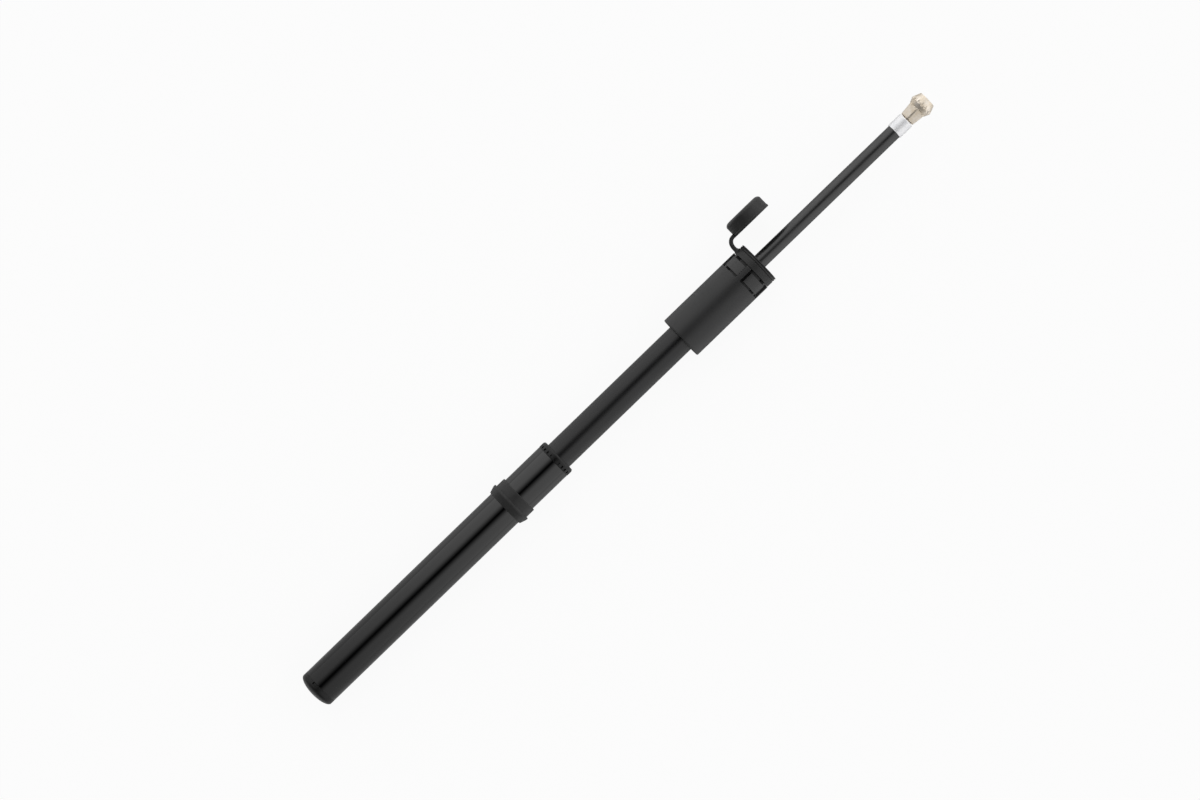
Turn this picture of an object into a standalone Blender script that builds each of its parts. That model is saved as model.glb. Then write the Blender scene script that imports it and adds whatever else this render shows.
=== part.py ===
"""Telescoping hand pump with a pull-out hose, lying on its side.

The pump's axis is +X, from the end cap towards the chuck, and +Z is up. The
origin is the centre of the end cap's flat face. The pump is fully pulled out:
the piston stands against the guide bush, the hose is drawn out of the hollow
shaft, and the dust cap hangs open on its strap, on the +Y side.
"""
import math

import bmesh
import bpy
from mathutils import Matrix, Vector

MM = 0.001

# Running and seating clearance between neighbouring pieces.
FIT = 0.3 * MM
# Space left between two pieces that come close at the end of a stroke.
END_SPACE = 0.7 * MM
# Small chamfer on turned edges.
EDGE = 0.3 * MM

# Barrel and end cap.
BARREL_RADIUS = 11.1 * MM
BARREL_WALL = 1.2 * MM
BARREL_LENGTH = 180.8 * MM
END_FACE_RADIUS = 3.0 * MM
END_DOME_DEPTH = 3.9 * MM
END_RIM_WIDTH = 2.4 * MM
END_SPIGOT_LENGTH = 4.5 * MM
END_WALL = 2.4 * MM
END_SPIGOT_WALL = 2.7 * MM
END_NOTCH_COUNT = 2
END_NOTCH_ANGLE = math.radians(16)
END_NOTCH_WIDTH = 3.0 * MM
END_NOTCH_DEPTH = 1.1 * MM

# Rubber ring on the barrel: a lip that stops the head, and a seat that it covers.
RING_LENGTH = 11.1 * MM
RING_LIP_PLACE = 5.2 * MM
RING_LIP_RADIUS = 13.2 * MM
RING_BACK_RADIUS = 11.9 * MM
RING_SEAT_RADIUS = 12.1 * MM
HEAD_OVERLAP = 36.8 * MM

# Gland nut, guide bush and wiper in the barrel's mouth.
NUT_RADIUS = 11.25 * MM
NUT_RIM = 3.3 * MM
NUT_NOSE = 0.9 * MM
NUT_NOSE_RADIUS = 10.5 * MM
NUT_SPIGOT_LENGTH = 7.5 * MM
NUT_NOTCH_COUNT = 24
NUT_NOTCH_WIDTH = 1.3 * MM
NUT_NOTCH_LENGTH = 1.5 * MM
NUT_NOTCH_DEPTH = 0.8 * MM
WIPER_LENGTH = 2.2 * MM
WIPER_HEIGHT = 0.8 * MM

# Shaft and piston.
SHAFT_RADIUS = 8.5 * MM
SHAFT_WALL = 1.2 * MM
STROKE = 131.4 * MM
PISTON_LENGTH = 11.4 * MM
PISTON_SPIGOT_LENGTH = 8.3 * MM
SEAL_WIRE_RADIUS = 0.9 * MM
WEAR_RING_WIDTH = 2.4 * MM
WEAR_RING_HEIGHT = 1.4 * MM
WEAR_RING_SPLIT = 1.0 * MM
PISTON_LAND = 1.5 * MM

# Check valve in the piston.
INLET_RADIUS = 1.6 * MM
INLET_LENGTH = 3.4 * MM
VALVE_CHAMBER_RADIUS = 3.2 * MM
BALL_RADIUS = 2.4 * MM
BALL_SEAT_GAP = 0.1 * MM
SPRING_RADIUS = 1.9 * MM
SPRING_WIRE_RADIUS = 0.25 * MM
SPRING_TURNS = 4
SPRING_LENGTH = 7.2 * MM
RETAINER_LENGTH = 2.0 * MM
RETAINER_HOLE_RADIUS = 1.2 * MM

# Head: skirt sleeve with four windows, and the core that carries it.
SLEEVE_RADIUS = 13.45 * MM
SLEEVE_TAIL = 9.2 * MM
SLEEVE_CHAMFER = 0.7 * MM
CORE_FLANGE_LENGTH = 7.65 * MM
CORE_STEP = 0.6 * MM
CORE_SEAT_LENGTH = 5.1 * MM
CORE_MOUTH_RADIUS = 7.5 * MM
SHAFT_SOCKET_DEPTH = 15.4 * MM
WINDOW_COUNT = 4
WINDOW_ANGLE = math.radians(80)
# The tongues between the windows are turned this far from the top, towards the cap.
TONGUE_TURN = math.radians(7)
# The core shows as a pad in each window, with slots at its ends and under the top
# and bottom tongues. It lies turned back a little, so a slot is wider on one side.
PAD_END_GAP = 1.3 * MM
PAD_SIDE_GAP = 0.9 * MM
PAD_TURN = math.radians(3)
SLOT_DEPTH = 1.9 * MM

# Rubber collar, strap and dust cap, which are moulded as one.
COLLAR_RADIUS = 13.2 * MM
COLLAR_LIP_WIDTH = 1.0 * MM
COLLAR_MOUTH_RADIUS = 8.2 * MM
COLLAR_GROOVES = 2
COLLAR_GROOVE_WIDTH = 0.7 * MM
COLLAR_GROOVE_DEPTH = 0.45 * MM
COLLAR_GROOVE_PITCH = 1.3 * MM
COLLAR_GROOVE_PLACE = 4.2 * MM
STRAP_WIDTH = 6.0 * MM
STRAP_THICKNESS = 2.3 * MM
STRAP_PLACE = 1.7 * MM
CAP_RADIUS = 13.0 * MM
CAP_HEIGHT = 8.7 * MM
CAP_ROUND_HEIGHT = 2.2 * MM
CAP_ROUND_WIDTH = 3.0 * MM
CAP_ROOF = 2.3 * MM
CAP_BORE_RADIUS = 9.5 * MM
# The strap bends about this line, which stands this far behind the collar's
# end face and this far from the pump's axis.
PIVOT_SETBACK = 3.1 * MM
PIVOT_HEIGHT = 15.8 * MM

# Hose, with its inner plug and its outer ferrule.
HOSE_RADIUS = 4.35 * MM
HOSE_BORE_RADIUS = 2.4 * MM
HOSE_TRAVEL = 127.0 * MM
HOSE_POINTS = 9
GUIDE_LENGTH = 8.0 * MM
PLUG_LENGTH = 8.0 * MM
PLUG_BARB_LENGTH = 11.0 * MM
BARB_RADIUS = 2.0 * MM
AIR_RADIUS = 1.0 * MM
RING_WIRE_RADIUS = 0.65 * MM
CLAMP_LENGTH = 12.0 * MM
CLAMP_WALL = 1.0 * MM
FERRULE_RADIUS = 4.9 * MM
FERRULE_WALL = 0.5 * MM
FERRULE_LENGTH = 9.3 * MM
FERRULE_END = 1.0 * MM
FERRULE_ROUND = 0.6 * MM

# Screw-on chuck.
CHUCK_LENGTH = 15.9 * MM
CHUCK_PROUD = 3.8 * MM
CHUCK_GAP = 0.6 * MM
CHUCK_HEX_APOTHEM = 4.9 * MM
CHUCK_HEX_LENGTH = 7.8 * MM
CHUCK_BODY_RADIUS = 5.6 * MM
CHUCK_WAIST_RADIUS = 6.0 * MM
CHUCK_RIM_RADIUS = 6.9 * MM
CHUCK_RIM_PLACE = 11.0 * MM
CHUCK_RIM_WIDTH = 1.0 * MM
CHUCK_NOSE_RADIUS = 5.1 * MM
CHUCK_FLUTES = 16
CHUCK_FLUTE_RADIUS = 0.8 * MM
CHUCK_FLUTE_DEPTH = 0.5 * MM
CHUCK_BACK_WALL = 1.7 * MM
CHUCK_CHAMBER_RADIUS = 3.4 * MM
CHUCK_SOCKET_RADIUS = 3.9 * MM
CHUCK_SOCKET_DEPTH = 10.3 * MM
STEM_RING_RADIUS = 0.45 * MM
STEM_HEAD_LENGTH = 1.3 * MM
STEM_BARB_LENGTH = 14.0 * MM
PIN_RADIUS = 0.8 * MM
PIN_BASE_LENGTH = 0.7 * MM
PIN_REACH = 3.6 * MM
PIN_HOLES = 3
PIN_HOLE_RADIUS = 0.45 * MM
WASHER_LENGTH = 2.0 * MM
WASHER_HOLE_RADIUS = 1.6 * MM

# Sides of the turned pieces.
LARGE_SIDES = 36
MEDIUM_SIDES = 24
SMALL_SIDES = 20
RING_POINTS = 6
AXIS_SIZE = 10 * MM

# Radii that follow from the ones above.
BARREL_BORE = BARREL_RADIUS - BARREL_WALL
IN_BARREL_RADIUS = BARREL_BORE - FIT
ROUND_SHAFT_RADIUS = SHAFT_RADIUS + FIT
SHAFT_BORE = SHAFT_RADIUS - SHAFT_WALL
IN_SHAFT_RADIUS = SHAFT_BORE - FIT
SLEEVE_BORE = RING_SEAT_RADIUS + FIT
SLEEVE_WALL = SLEEVE_RADIUS - SLEEVE_BORE
CORE_RADIUS = SLEEVE_BORE - FIT
CORE_SEAT_RADIUS = CORE_RADIUS - CORE_STEP
ROUND_HOSE_RADIUS = HOSE_RADIUS + FIT

# Stations along the pump's axis, worked out from the end cap outwards.
END_FACE_DEPTH = END_DOME_DEPTH * (1 - math.sqrt(1 - (END_FACE_RADIUS / BARREL_RADIUS) ** 2))
END_RIM_START = END_DOME_DEPTH - END_FACE_DEPTH
END_SEAT = END_RIM_START + END_RIM_WIDTH
END_SPIGOT_END = END_SEAT + END_SPIGOT_LENGTH
BARREL_START = END_SEAT + FIT
BARREL_END = BARREL_START + BARREL_LENGTH
NUT_SEAT = BARREL_END + FIT
NUT_START = NUT_SEAT - NUT_SPIGOT_LENGTH
NUT_RIM_END = NUT_SEAT + NUT_RIM
NUT_END = NUT_RIM_END + NUT_NOSE
RING_LIP = NUT_END - HEAD_OVERLAP
RING_START = RING_LIP - RING_LIP_PLACE
PISTON_START = END_SPIGOT_END + END_SPACE + STROKE
PISTON_END = PISTON_START + PISTON_LENGTH
BUSH_START = PISTON_END + FIT
BUSH_END = NUT_START - FIT
SHAFT_START = PISTON_END + FIT
SLEEVE_START = RING_LIP + FIT + STROKE
CORE_START = SLEEVE_START + HEAD_OVERLAP + END_SPACE
CORE_FLANGE_END = CORE_START + CORE_FLANGE_LENGTH
WINDOW_START = CORE_FLANGE_END + FIT
SLEEVE_END = WINDOW_START + SLEEVE_TAIL
COLLAR_START = SLEEVE_END + FIT
CORE_END = COLLAR_START + CORE_SEAT_LENGTH
COLLAR_END = CORE_END + FIT + COLLAR_LIP_WIDTH
SHAFT_END = CORE_START + SHAFT_SOCKET_DEPTH
CHUCK_END = COLLAR_END + CHUCK_PROUD + HOSE_TRAVEL
CHUCK_START = CHUCK_END - CHUCK_LENGTH
FERRULE_STOP = CHUCK_START - CHUCK_GAP
FERRULE_START = FERRULE_STOP - FERRULE_LENGTH
HOSE_END = FERRULE_STOP - FERRULE_END - FIT
GUIDE_END = FERRULE_START - HOSE_TRAVEL - END_SPACE
GUIDE_START = GUIDE_END - GUIDE_LENGTH
CLAMP_END = GUIDE_START - FIT
CLAMP_START = CLAMP_END - CLAMP_LENGTH
HOSE_START = CLAMP_START - FIT
PLUG_END = HOSE_START - FIT
PLUG_START = PLUG_END - PLUG_LENGTH

# Valve stations, from the piston's front face.
VALVE_CONE_END = INLET_LENGTH + VALVE_CHAMBER_RADIUS - INLET_RADIUS
BALL_PLACE = INLET_LENGTH - INLET_RADIUS + (BALL_RADIUS + BALL_SEAT_GAP) * math.sqrt(2)


def clear_scene():
    for old in list(bpy.data.objects):
        bpy.data.objects.remove(old, do_unlink=True)


def new_collection(name):
    collection = bpy.data.collections.new(name)
    bpy.context.scene.collection.children.link(collection)
    return collection


clear_scene()
PARTS = new_collection("telescoping_hand_pump")
CUTTERS = new_collection("cutters")


def new_material(name, colour, roughness, metallic=0.0):
    """A Principled material with one colour and finish."""
    material = bpy.data.materials.new(name)
    material.use_nodes = True
    shader = material.node_tree.nodes["Principled BSDF"]
    shader.inputs["Base Color"].default_value = (*colour, 1.0)
    shader.inputs["Roughness"].default_value = roughness
    shader.inputs["Metallic"].default_value = metallic
    return material


def new_axis(name, parent=None, location=(0, 0, 0), rotation=(0, 0, 0)):
    """An empty that stands on an axis; pieces that move together hang from it."""
    axis = bpy.data.objects.new(name, None)
    axis.empty_display_size = AXIS_SIZE
    axis.parent = parent
    axis.location = location
    axis.rotation_euler = rotation
    PARTS.objects.link(axis)
    return axis


def add_object(name, data, parent, material, location=(0, 0, 0), rotation=(0, 0, 0)):
    """Put a mesh or curve in the scene as one named piece."""
    piece = bpy.data.objects.new(name, data)
    piece.parent = parent
    piece.location = location
    piece.rotation_euler = rotation
    data.materials.append(material)
    PARTS.objects.link(piece)
    return piece


def add_cutter(name, mesh, parent, location=(0, 0, 0)):
    """Put a mesh in the scene as a tool that only cuts."""
    cutter = bpy.data.objects.new(name, mesh)
    cutter.parent = parent
    cutter.location = location
    cutter.hide_render = True
    cutter.display_type = "WIRE"
    CUTTERS.objects.link(cutter)
    return cutter


def cut(piece, cutter):
    """Cut a piece with a cutter."""
    boolean = piece.modifiers.new(cutter.name, "BOOLEAN")
    boolean.operation = "DIFFERENCE"
    boolean.solver = "EXACT"
    boolean.object = cutter


def smooth(mesh):
    mesh.shade_smooth()
    mesh.set_sharp_from_angle(angle=math.radians(35))


def outward(profile):
    """Order (station, radius) points so that the outer side runs from top to bottom."""
    following = profile[1:] + profile[:1]
    area = sum(a[1] * b[0] - b[1] * a[0] for a, b in zip(profile, following))
    return profile[::-1] if area > 0 else profile


def profile_mesh(name, profile):
    """Profile points as a line of edges, closed unless it ends on the axis."""
    points = outward(profile)
    edges = [(i, i + 1) for i in range(len(points) - 1)]
    on_axis = points[0][1] == 0 and points[-1][1] == 0
    if not on_axis:
        edges.append((len(points) - 1, 0))
    mesh = bpy.data.meshes.new(name)
    mesh.from_pydata([(radius, 0, station) for station, radius in points], edges, [])
    return mesh


def turned(name, profile, parent, material, start=0.0, sides=LARGE_SIDES):
    """Turn a profile of (station, radius) points about its parent's axis."""
    piece = add_object(name, profile_mesh(name, profile), parent, material)
    piece.location.z = start
    piece.rotation_euler.z = math.pi / sides
    screw = piece.modifiers.new("turn", "SCREW")
    screw.axis = "Z"
    screw.angle = 2 * math.pi
    screw.steps = sides
    screw.render_steps = sides
    screw.use_merge_vertices = True
    screw.merge_threshold = 0.01 * MM
    screw.use_smooth_shade = True
    return piece


def tube_profile(length, outer, inner, edge=0.0):
    """A plain tube or ring, with its outer edges chamfered."""
    if not edge:
        return [(0, inner), (0, outer), (length, outer), (length, inner)]
    return [
        (0, inner), (0, outer - edge), (edge, outer),
        (length - edge, outer), (length, outer - edge), (length, inner),
    ]


def ring_profile(centre_radius, wire_radius):
    """The round section of a sealing ring, centred on station 0."""
    turns = [2 * math.pi * (i + 0.5) / RING_POINTS for i in range(RING_POINTS)]
    return [
        (wire_radius * math.sin(t), centre_radius + wire_radius * math.cos(t)) for t in turns
    ]


def box_mesh(name, boxes):
    """One mesh of separate boxes, each given by its size, centre and turn about Z."""
    shape = bmesh.new()
    for size, centre, turn in boxes:
        made = bmesh.ops.create_cube(shape, size=1.0)["verts"]
        bmesh.ops.scale(shape, vec=size, verts=made)
        bmesh.ops.translate(shape, vec=centre, verts=made)
        bmesh.ops.rotate(shape, verts=made, cent=(0, 0, 0), matrix=Matrix.Rotation(turn, 3, "Z"))
    mesh = bpy.data.meshes.new(name)
    shape.to_mesh(mesh)
    shape.free()
    return mesh


def rod_mesh(name, rods, sides=10):
    """One mesh of separate rods along Z, each given by its radius, length, start and place."""
    shape = bmesh.new()
    for radius, length, start, place in rods:
        made = bmesh.ops.create_cone(
            shape, cap_ends=True, segments=sides, radius1=radius, radius2=radius, depth=length,
        )["verts"]
        bmesh.ops.translate(shape, vec=(*place, start + length / 2), verts=made)
    mesh = bpy.data.meshes.new(name)
    shape.to_mesh(mesh)
    shape.free()
    return mesh


def around(count, radius, offset=0.0):
    """Places spread evenly round an axis."""
    turns = [offset + 2 * math.pi * i / count for i in range(count)]
    return [(radius * math.cos(t), radius * math.sin(t)) for t in turns]


def curve_as_mesh(piece):
    """Turn a curve piece into a closed mesh piece of the same name, so that it can be cut."""
    bpy.context.view_layer.update()
    seen = piece.evaluated_get(bpy.context.evaluated_depsgraph_get())
    mesh = bpy.data.meshes.new_from_object(seen)
    shape = bmesh.new()
    shape.from_mesh(mesh)
    bmesh.ops.remove_doubles(shape, verts=shape.verts, dist=0.001 * MM)
    shape.to_mesh(mesh)
    shape.free()
    name = piece.name
    matrix = piece.matrix_world.copy()
    bpy.data.objects.remove(piece, do_unlink=True)
    made = bpy.data.objects.new(name, mesh)
    made.matrix_world = matrix
    PARTS.objects.link(made)
    return made


def wire_curve(name, points, radius, sides_level, swell=None):
    """A round wire or hose through the points, with filled ends."""
    curve = bpy.data.curves.new(name, "CURVE")
    curve.dimensions = "3D"
    curve.bevel_depth = radius
    curve.bevel_resolution = sides_level
    curve.use_fill_caps = True
    spline = curve.splines.new("POLY")
    spline.points.add(len(points) - 1)
    for i, (point, place) in enumerate(zip(spline.points, points)):
        point.co = (*place, 1)
        point.radius = swell[i] if swell else 1.0
    return curve


# The barrel and what stays with it.

def end_cap(axis, material):
    """Domed plug with a hollow spigot and a ring groove."""
    dome_radii = [END_FACE_RADIUS + (BARREL_RADIUS - END_FACE_RADIUS) * f
                  for f in (0.0, 0.3, 0.55, 0.75, 0.9, 0.97, 1.0)]
    dome = [(END_DOME_DEPTH * (1 - math.sqrt(1 - (r / BARREL_RADIUS) ** 2)) - END_FACE_DEPTH, r)
            for r in dome_radii]
    groove = END_SEAT + (END_SPIGOT_LENGTH - ring_groove_width(RING_WIRE_RADIUS)) / 2
    groove_end = groove + ring_groove_width(RING_WIRE_RADIUS)
    groove_radius = end_ring_radius() - RING_WIRE_RADIUS - FIT / 2
    hollow = IN_BARREL_RADIUS - END_SPIGOT_WALL
    profile = [(0, 0)] + dome + [
        (END_SEAT, BARREL_RADIUS),
        (END_SEAT, IN_BARREL_RADIUS),
        (groove, IN_BARREL_RADIUS),
        (groove, groove_radius),
        (groove_end, groove_radius),
        (groove_end, IN_BARREL_RADIUS),
        (END_SPIGOT_END - EDGE, IN_BARREL_RADIUS),
        (END_SPIGOT_END, IN_BARREL_RADIUS - EDGE),
        (END_SPIGOT_END, hollow),
        (END_WALL, hollow),
        (END_WALL, 0),
    ]
    piece = turned("end_cap", profile, axis, material)
    # Upwards is -X on the pump's axis, so the notch is turned from there.
    notches = [
        ((2 * END_NOTCH_DEPTH, END_NOTCH_WIDTH, 2 * END_RIM_WIDTH / 3),
         (BARREL_RADIUS, 0, END_SEAT - END_RIM_WIDTH / 3),
         math.pi - END_NOTCH_ANGLE + 2 * math.pi * i / END_NOTCH_COUNT)
        for i in range(END_NOTCH_COUNT)
    ]
    cut(piece, add_cutter("end_cap_notches", box_mesh("end_cap_notches", notches), axis))


def ring_groove_width(wire_radius):
    return 2 * (wire_radius + FIT)


def end_ring_radius():
    return IN_BARREL_RADIUS - RING_WIRE_RADIUS


def end_cap_oring(axis, material):
    profile = ring_profile(end_ring_radius(), RING_WIRE_RADIUS)
    turned("end_cap_oring", profile, axis, material, END_SEAT + END_SPIGOT_LENGTH / 2)


def barrel_tube(axis, material):
    profile = tube_profile(BARREL_LENGTH, BARREL_RADIUS, BARREL_BORE, EDGE)
    turned("barrel_tube", profile, axis, material, BARREL_START)


def bumper_ring(axis, material):
    """Rubber ring whose lip stops the head's skirt."""
    bore = BARREL_RADIUS + FIT
    profile = [
        (0, bore),
        (0, RING_BACK_RADIUS - EDGE),
        (EDGE, RING_BACK_RADIUS),
        (RING_LIP_PLACE * 0.75, RING_LIP_RADIUS - EDGE),
        (RING_LIP_PLACE - EDGE, RING_LIP_RADIUS),
        (RING_LIP_PLACE, RING_LIP_RADIUS - EDGE),
        (RING_LIP_PLACE, RING_SEAT_RADIUS),
        (RING_LENGTH - EDGE, RING_SEAT_RADIUS),
        (RING_LENGTH, RING_SEAT_RADIUS - EDGE),
        (RING_LENGTH, bore),
    ]
    turned("bumper_ring", profile, axis, material, RING_START)


def gland_nut(axis, material):
    """Ring nut screwed into the barrel, with a notched rim and a recess for the wiper."""
    recess = SHAFT_RADIUS + FIT + WIPER_HEIGHT + FIT
    recess_start = NUT_SPIGOT_LENGTH + NUT_RIM + NUT_NOSE - WIPER_LENGTH - FIT
    rim_end = NUT_SPIGOT_LENGTH + NUT_RIM
    profile = [
        (0, ROUND_SHAFT_RADIUS),
        (0, IN_BARREL_RADIUS - EDGE),
        (EDGE, IN_BARREL_RADIUS),
        (NUT_SPIGOT_LENGTH, IN_BARREL_RADIUS),
        (NUT_SPIGOT_LENGTH, NUT_RADIUS),
        (rim_end, NUT_RADIUS),
        (rim_end + NUT_NOSE, NUT_NOSE_RADIUS),
        (rim_end + NUT_NOSE, recess),
        (recess_start, recess),
        (recess_start, ROUND_SHAFT_RADIUS),
    ]
    piece = turned("gland_nut", profile, axis, material, NUT_START)
    notches = [
        ((2 * NUT_NOTCH_DEPTH, NUT_NOTCH_WIDTH, NUT_NOTCH_LENGTH),
         (NUT_RADIUS, 0, NUT_SEAT + NUT_RIM / 2 - NUT_NOTCH_DEPTH / 2),
         2 * math.pi * i / NUT_NOTCH_COUNT)
        for i in range(NUT_NOTCH_COUNT)
    ]
    cut(piece, add_cutter("gland_nut_notches", box_mesh("gland_nut_notches", notches), axis))


def shaft_guide_bush(axis, material):
    profile = tube_profile(BUSH_END - BUSH_START, IN_BARREL_RADIUS, ROUND_SHAFT_RADIUS, EDGE)
    turned("shaft_guide_bush", profile, axis, material, BUSH_START, MEDIUM_SIDES)


def shaft_wiper(axis, material):
    """Ring with a lip that leans towards the shaft."""
    outer = ROUND_SHAFT_RADIUS + WIPER_HEIGHT
    profile = [
        (0, ROUND_SHAFT_RADIUS + WIPER_HEIGHT / 3),
        (0, outer),
        (WIPER_LENGTH - EDGE, outer),
        (WIPER_LENGTH, outer - EDGE),
        (WIPER_LENGTH, ROUND_SHAFT_RADIUS),
    ]
    turned("shaft_wiper", profile, axis, material, NUT_END - WIPER_LENGTH, LARGE_SIDES)


# The piston's rings, which slide with the shaft and need not turn with it.

def piston_seal_ring(axis, material):
    seal_radius = IN_BARREL_RADIUS - SEAL_WIRE_RADIUS
    place = PISTON_START + PISTON_LAND + ring_groove_width(SEAL_WIRE_RADIUS) / 2
    turned("piston_seal_ring", ring_profile(seal_radius, SEAL_WIRE_RADIUS), axis, material, place)


def piston_wear_ring(axis, material):
    """Split guide ring."""
    profile = tube_profile(WEAR_RING_WIDTH, IN_BARREL_RADIUS, IN_BARREL_RADIUS - WEAR_RING_HEIGHT)
    start = PISTON_START + wear_groove_start() + FIT
    piece = turned("piston_wear_ring", profile, axis, material, start)
    split = [((4 * WEAR_RING_HEIGHT, WEAR_RING_SPLIT, 2 * WEAR_RING_WIDTH),
              (IN_BARREL_RADIUS, 0, start + WEAR_RING_WIDTH / 2), math.pi / 4)]
    cut(piece, add_cutter("wear_ring_split", box_mesh("wear_ring_split", split), axis))


def wear_groove_start():
    """The wear ring's groove lies one land behind the seal ring's."""
    return 2 * PISTON_LAND + ring_groove_width(SEAL_WIRE_RADIUS)


# The shaft, the piston and the head.

def piston_body(axis, material):
    """Piston with two ring grooves and the check valve's seat and chamber."""
    seal_groove = IN_BARREL_RADIUS - 2 * SEAL_WIRE_RADIUS - FIT
    seal_end = PISTON_LAND + ring_groove_width(SEAL_WIRE_RADIUS)
    wear_start = wear_groove_start()
    wear_end = wear_start + WEAR_RING_WIDTH + 2 * FIT
    wear_groove = IN_BARREL_RADIUS - WEAR_RING_HEIGHT - FIT
    # The piston's lands stand a little inside its rings.
    land_radius = IN_BARREL_RADIUS - FIT
    length = PISTON_LENGTH + PISTON_SPIGOT_LENGTH
    profile = [
        (0, INLET_RADIUS),
        (0, land_radius - EDGE),
        (EDGE, land_radius),
        (PISTON_LAND, land_radius),
        (PISTON_LAND, seal_groove),
        (seal_end, seal_groove),
        (seal_end, land_radius),
        (wear_start, land_radius),
        (wear_start, wear_groove),
        (wear_end, wear_groove),
        (wear_end, land_radius),
        (PISTON_LENGTH, land_radius),
        (PISTON_LENGTH, IN_SHAFT_RADIUS),
        (length - EDGE, IN_SHAFT_RADIUS),
        (length, IN_SHAFT_RADIUS - EDGE),
        (length, VALVE_CHAMBER_RADIUS),
        (VALVE_CONE_END, VALVE_CHAMBER_RADIUS),
        (INLET_LENGTH, INLET_RADIUS),
    ]
    turned("piston_body", profile, axis, material, PISTON_START, MEDIUM_SIDES)


def spring_start():
    """Where the wire of the first turn clears the ball, from the piston's front face."""
    reach = BALL_RADIUS + SPRING_WIRE_RADIUS + BALL_SEAT_GAP
    return BALL_PLACE + math.sqrt(reach ** 2 - SPRING_RADIUS ** 2)


def check_valve_spring(axis, material):
    """Helical spring, one unbroken wire; prints its least gap to itself."""
    steps = 10
    count = SPRING_TURNS * steps
    points = []
    for i in range(count + 1):
        angle = 2 * math.pi * i / steps
        height = SPRING_LENGTH * i / count
        points.append((SPRING_RADIUS * math.cos(angle), SPRING_RADIUS * math.sin(angle), height))
    curve = wire_curve("check_valve_spring", points, SPRING_WIRE_RADIUS, 1)
    add_object("check_valve_spring", curve, axis, material, (0, 0, PISTON_START + spring_start()))
    far = range(steps // 2, count + 1)
    gaps = [(Vector(points[i]) - Vector(points[i + k])).length
            for k in far for i in range(count + 1 - k)]
    print("check_valve_spring: least gap to itself %.2f mm"
          % ((min(gaps) - 2 * SPRING_WIRE_RADIUS) / MM))


def retainer_start():
    return spring_start() + SPRING_LENGTH + SPRING_WIRE_RADIUS + FIT


def check_valve_retainer(axis, material):
    outer = VALVE_CHAMBER_RADIUS - FIT
    profile = tube_profile(RETAINER_LENGTH, outer, RETAINER_HOLE_RADIUS)
    start = PISTON_START + retainer_start()
    turned("check_valve_retainer", profile, axis, material, start, SMALL_SIDES)


def check_valve_ball(axis, material):
    shape = bmesh.new()
    bmesh.ops.create_uvsphere(shape, u_segments=16, v_segments=10, radius=BALL_RADIUS)
    mesh = bpy.data.meshes.new("check_valve_ball")
    shape.to_mesh(mesh)
    shape.free()
    smooth(mesh)
    add_object("check_valve_ball", mesh, axis, material)


def shaft_tube(axis, material):
    profile = tube_profile(SHAFT_END - SHAFT_START, SHAFT_RADIUS, SHAFT_BORE, EDGE)
    turned("shaft_tube", profile, axis, material, SHAFT_START)


def head_sleeve(axis, material):
    """Skirt sleeve with four windows open towards the collar, and tongues between them."""
    profile = tube_profile(SLEEVE_END - SLEEVE_START, SLEEVE_RADIUS, SLEEVE_BORE, SLEEVE_CHAMFER)
    piece = turned("head_sleeve", profile, axis, material, SLEEVE_START)
    half_width = window_half_width()
    inner = math.sqrt(SLEEVE_BORE ** 2 - half_width ** 2) - FIT
    outer = SLEEVE_RADIUS + SLEEVE_WALL
    length = SLEEVE_TAIL + SLEEVE_WALL
    for i in range(WINDOW_COUNT):
        window = ((outer - inner, 2 * half_width, length),
                  ((outer + inner) / 2, 0, WINDOW_START + length / 2),
                  tongue_direction(i + 0.5))
        name = f"sleeve_window_{i + 1}"
        cut(piece, add_cutter(name, box_mesh(name, [window]), axis))


def tongue_direction(i):
    """Direction of a tongue, counted from the bottom one; a half lies in a window."""
    return 2 * math.pi * i / WINDOW_COUNT - TONGUE_TURN


def window_half_width():
    return (SLEEVE_RADIUS - SLEEVE_WALL / 2) * math.sin(WINDOW_ANGLE / 2)


def tongue_half_width():
    """Half the width of a tongue between two windows, on its outside."""
    return SLEEVE_RADIUS * math.sin(
        math.pi / WINDOW_COUNT - math.asin(window_half_width() / SLEEVE_RADIUS))


def head_core(axis, material):
    """Carrier between shaft and sleeve, with a pad in each window and a bore for the chuck."""
    flange = CORE_FLANGE_END - CORE_START
    pad_start = WINDOW_START + PAD_END_GAP - CORE_START
    pad_end = SLEEVE_END - PAD_END_GAP - CORE_START
    slot_radius = CORE_RADIUS - SLOT_DEPTH
    seat = COLLAR_START - CORE_START
    length = CORE_END - CORE_START
    socket = SHAFT_SOCKET_DEPTH + FIT
    profile = [
        (0, ROUND_SHAFT_RADIUS),
        (0, CORE_RADIUS - EDGE),
        (EDGE, CORE_RADIUS),
        (flange, CORE_RADIUS),
        (flange, slot_radius),
        (pad_start, slot_radius),
        (pad_start, CORE_RADIUS),
        (pad_end, CORE_RADIUS),
        (pad_end, slot_radius),
        (seat, slot_radius),
        (seat, CORE_SEAT_RADIUS),
        (length, CORE_SEAT_RADIUS),
        (length, CORE_MOUTH_RADIUS + EDGE),
        (length - EDGE, CORE_MOUTH_RADIUS),
        (socket, CORE_MOUTH_RADIUS),
        (socket, ROUND_SHAFT_RADIUS),
    ]
    piece = turned("head_core", profile, axis, material, CORE_START)
    # The bottom and top tongues lie over slots between the pads.
    slots = [
        ((2 * (SLEEVE_RADIUS - slot_radius), 2 * (tongue_half_width() + PAD_SIDE_GAP),
          pad_end - pad_start + FIT),
         (SLEEVE_RADIUS, 0, CORE_START + (pad_start + pad_end) / 2),
         tongue_direction(i) + PAD_TURN)
        for i in (0, WINDOW_COUNT / 2)
    ]
    cut(piece, add_cutter("tongue_slots", box_mesh("tongue_slots", slots), axis))


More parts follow.
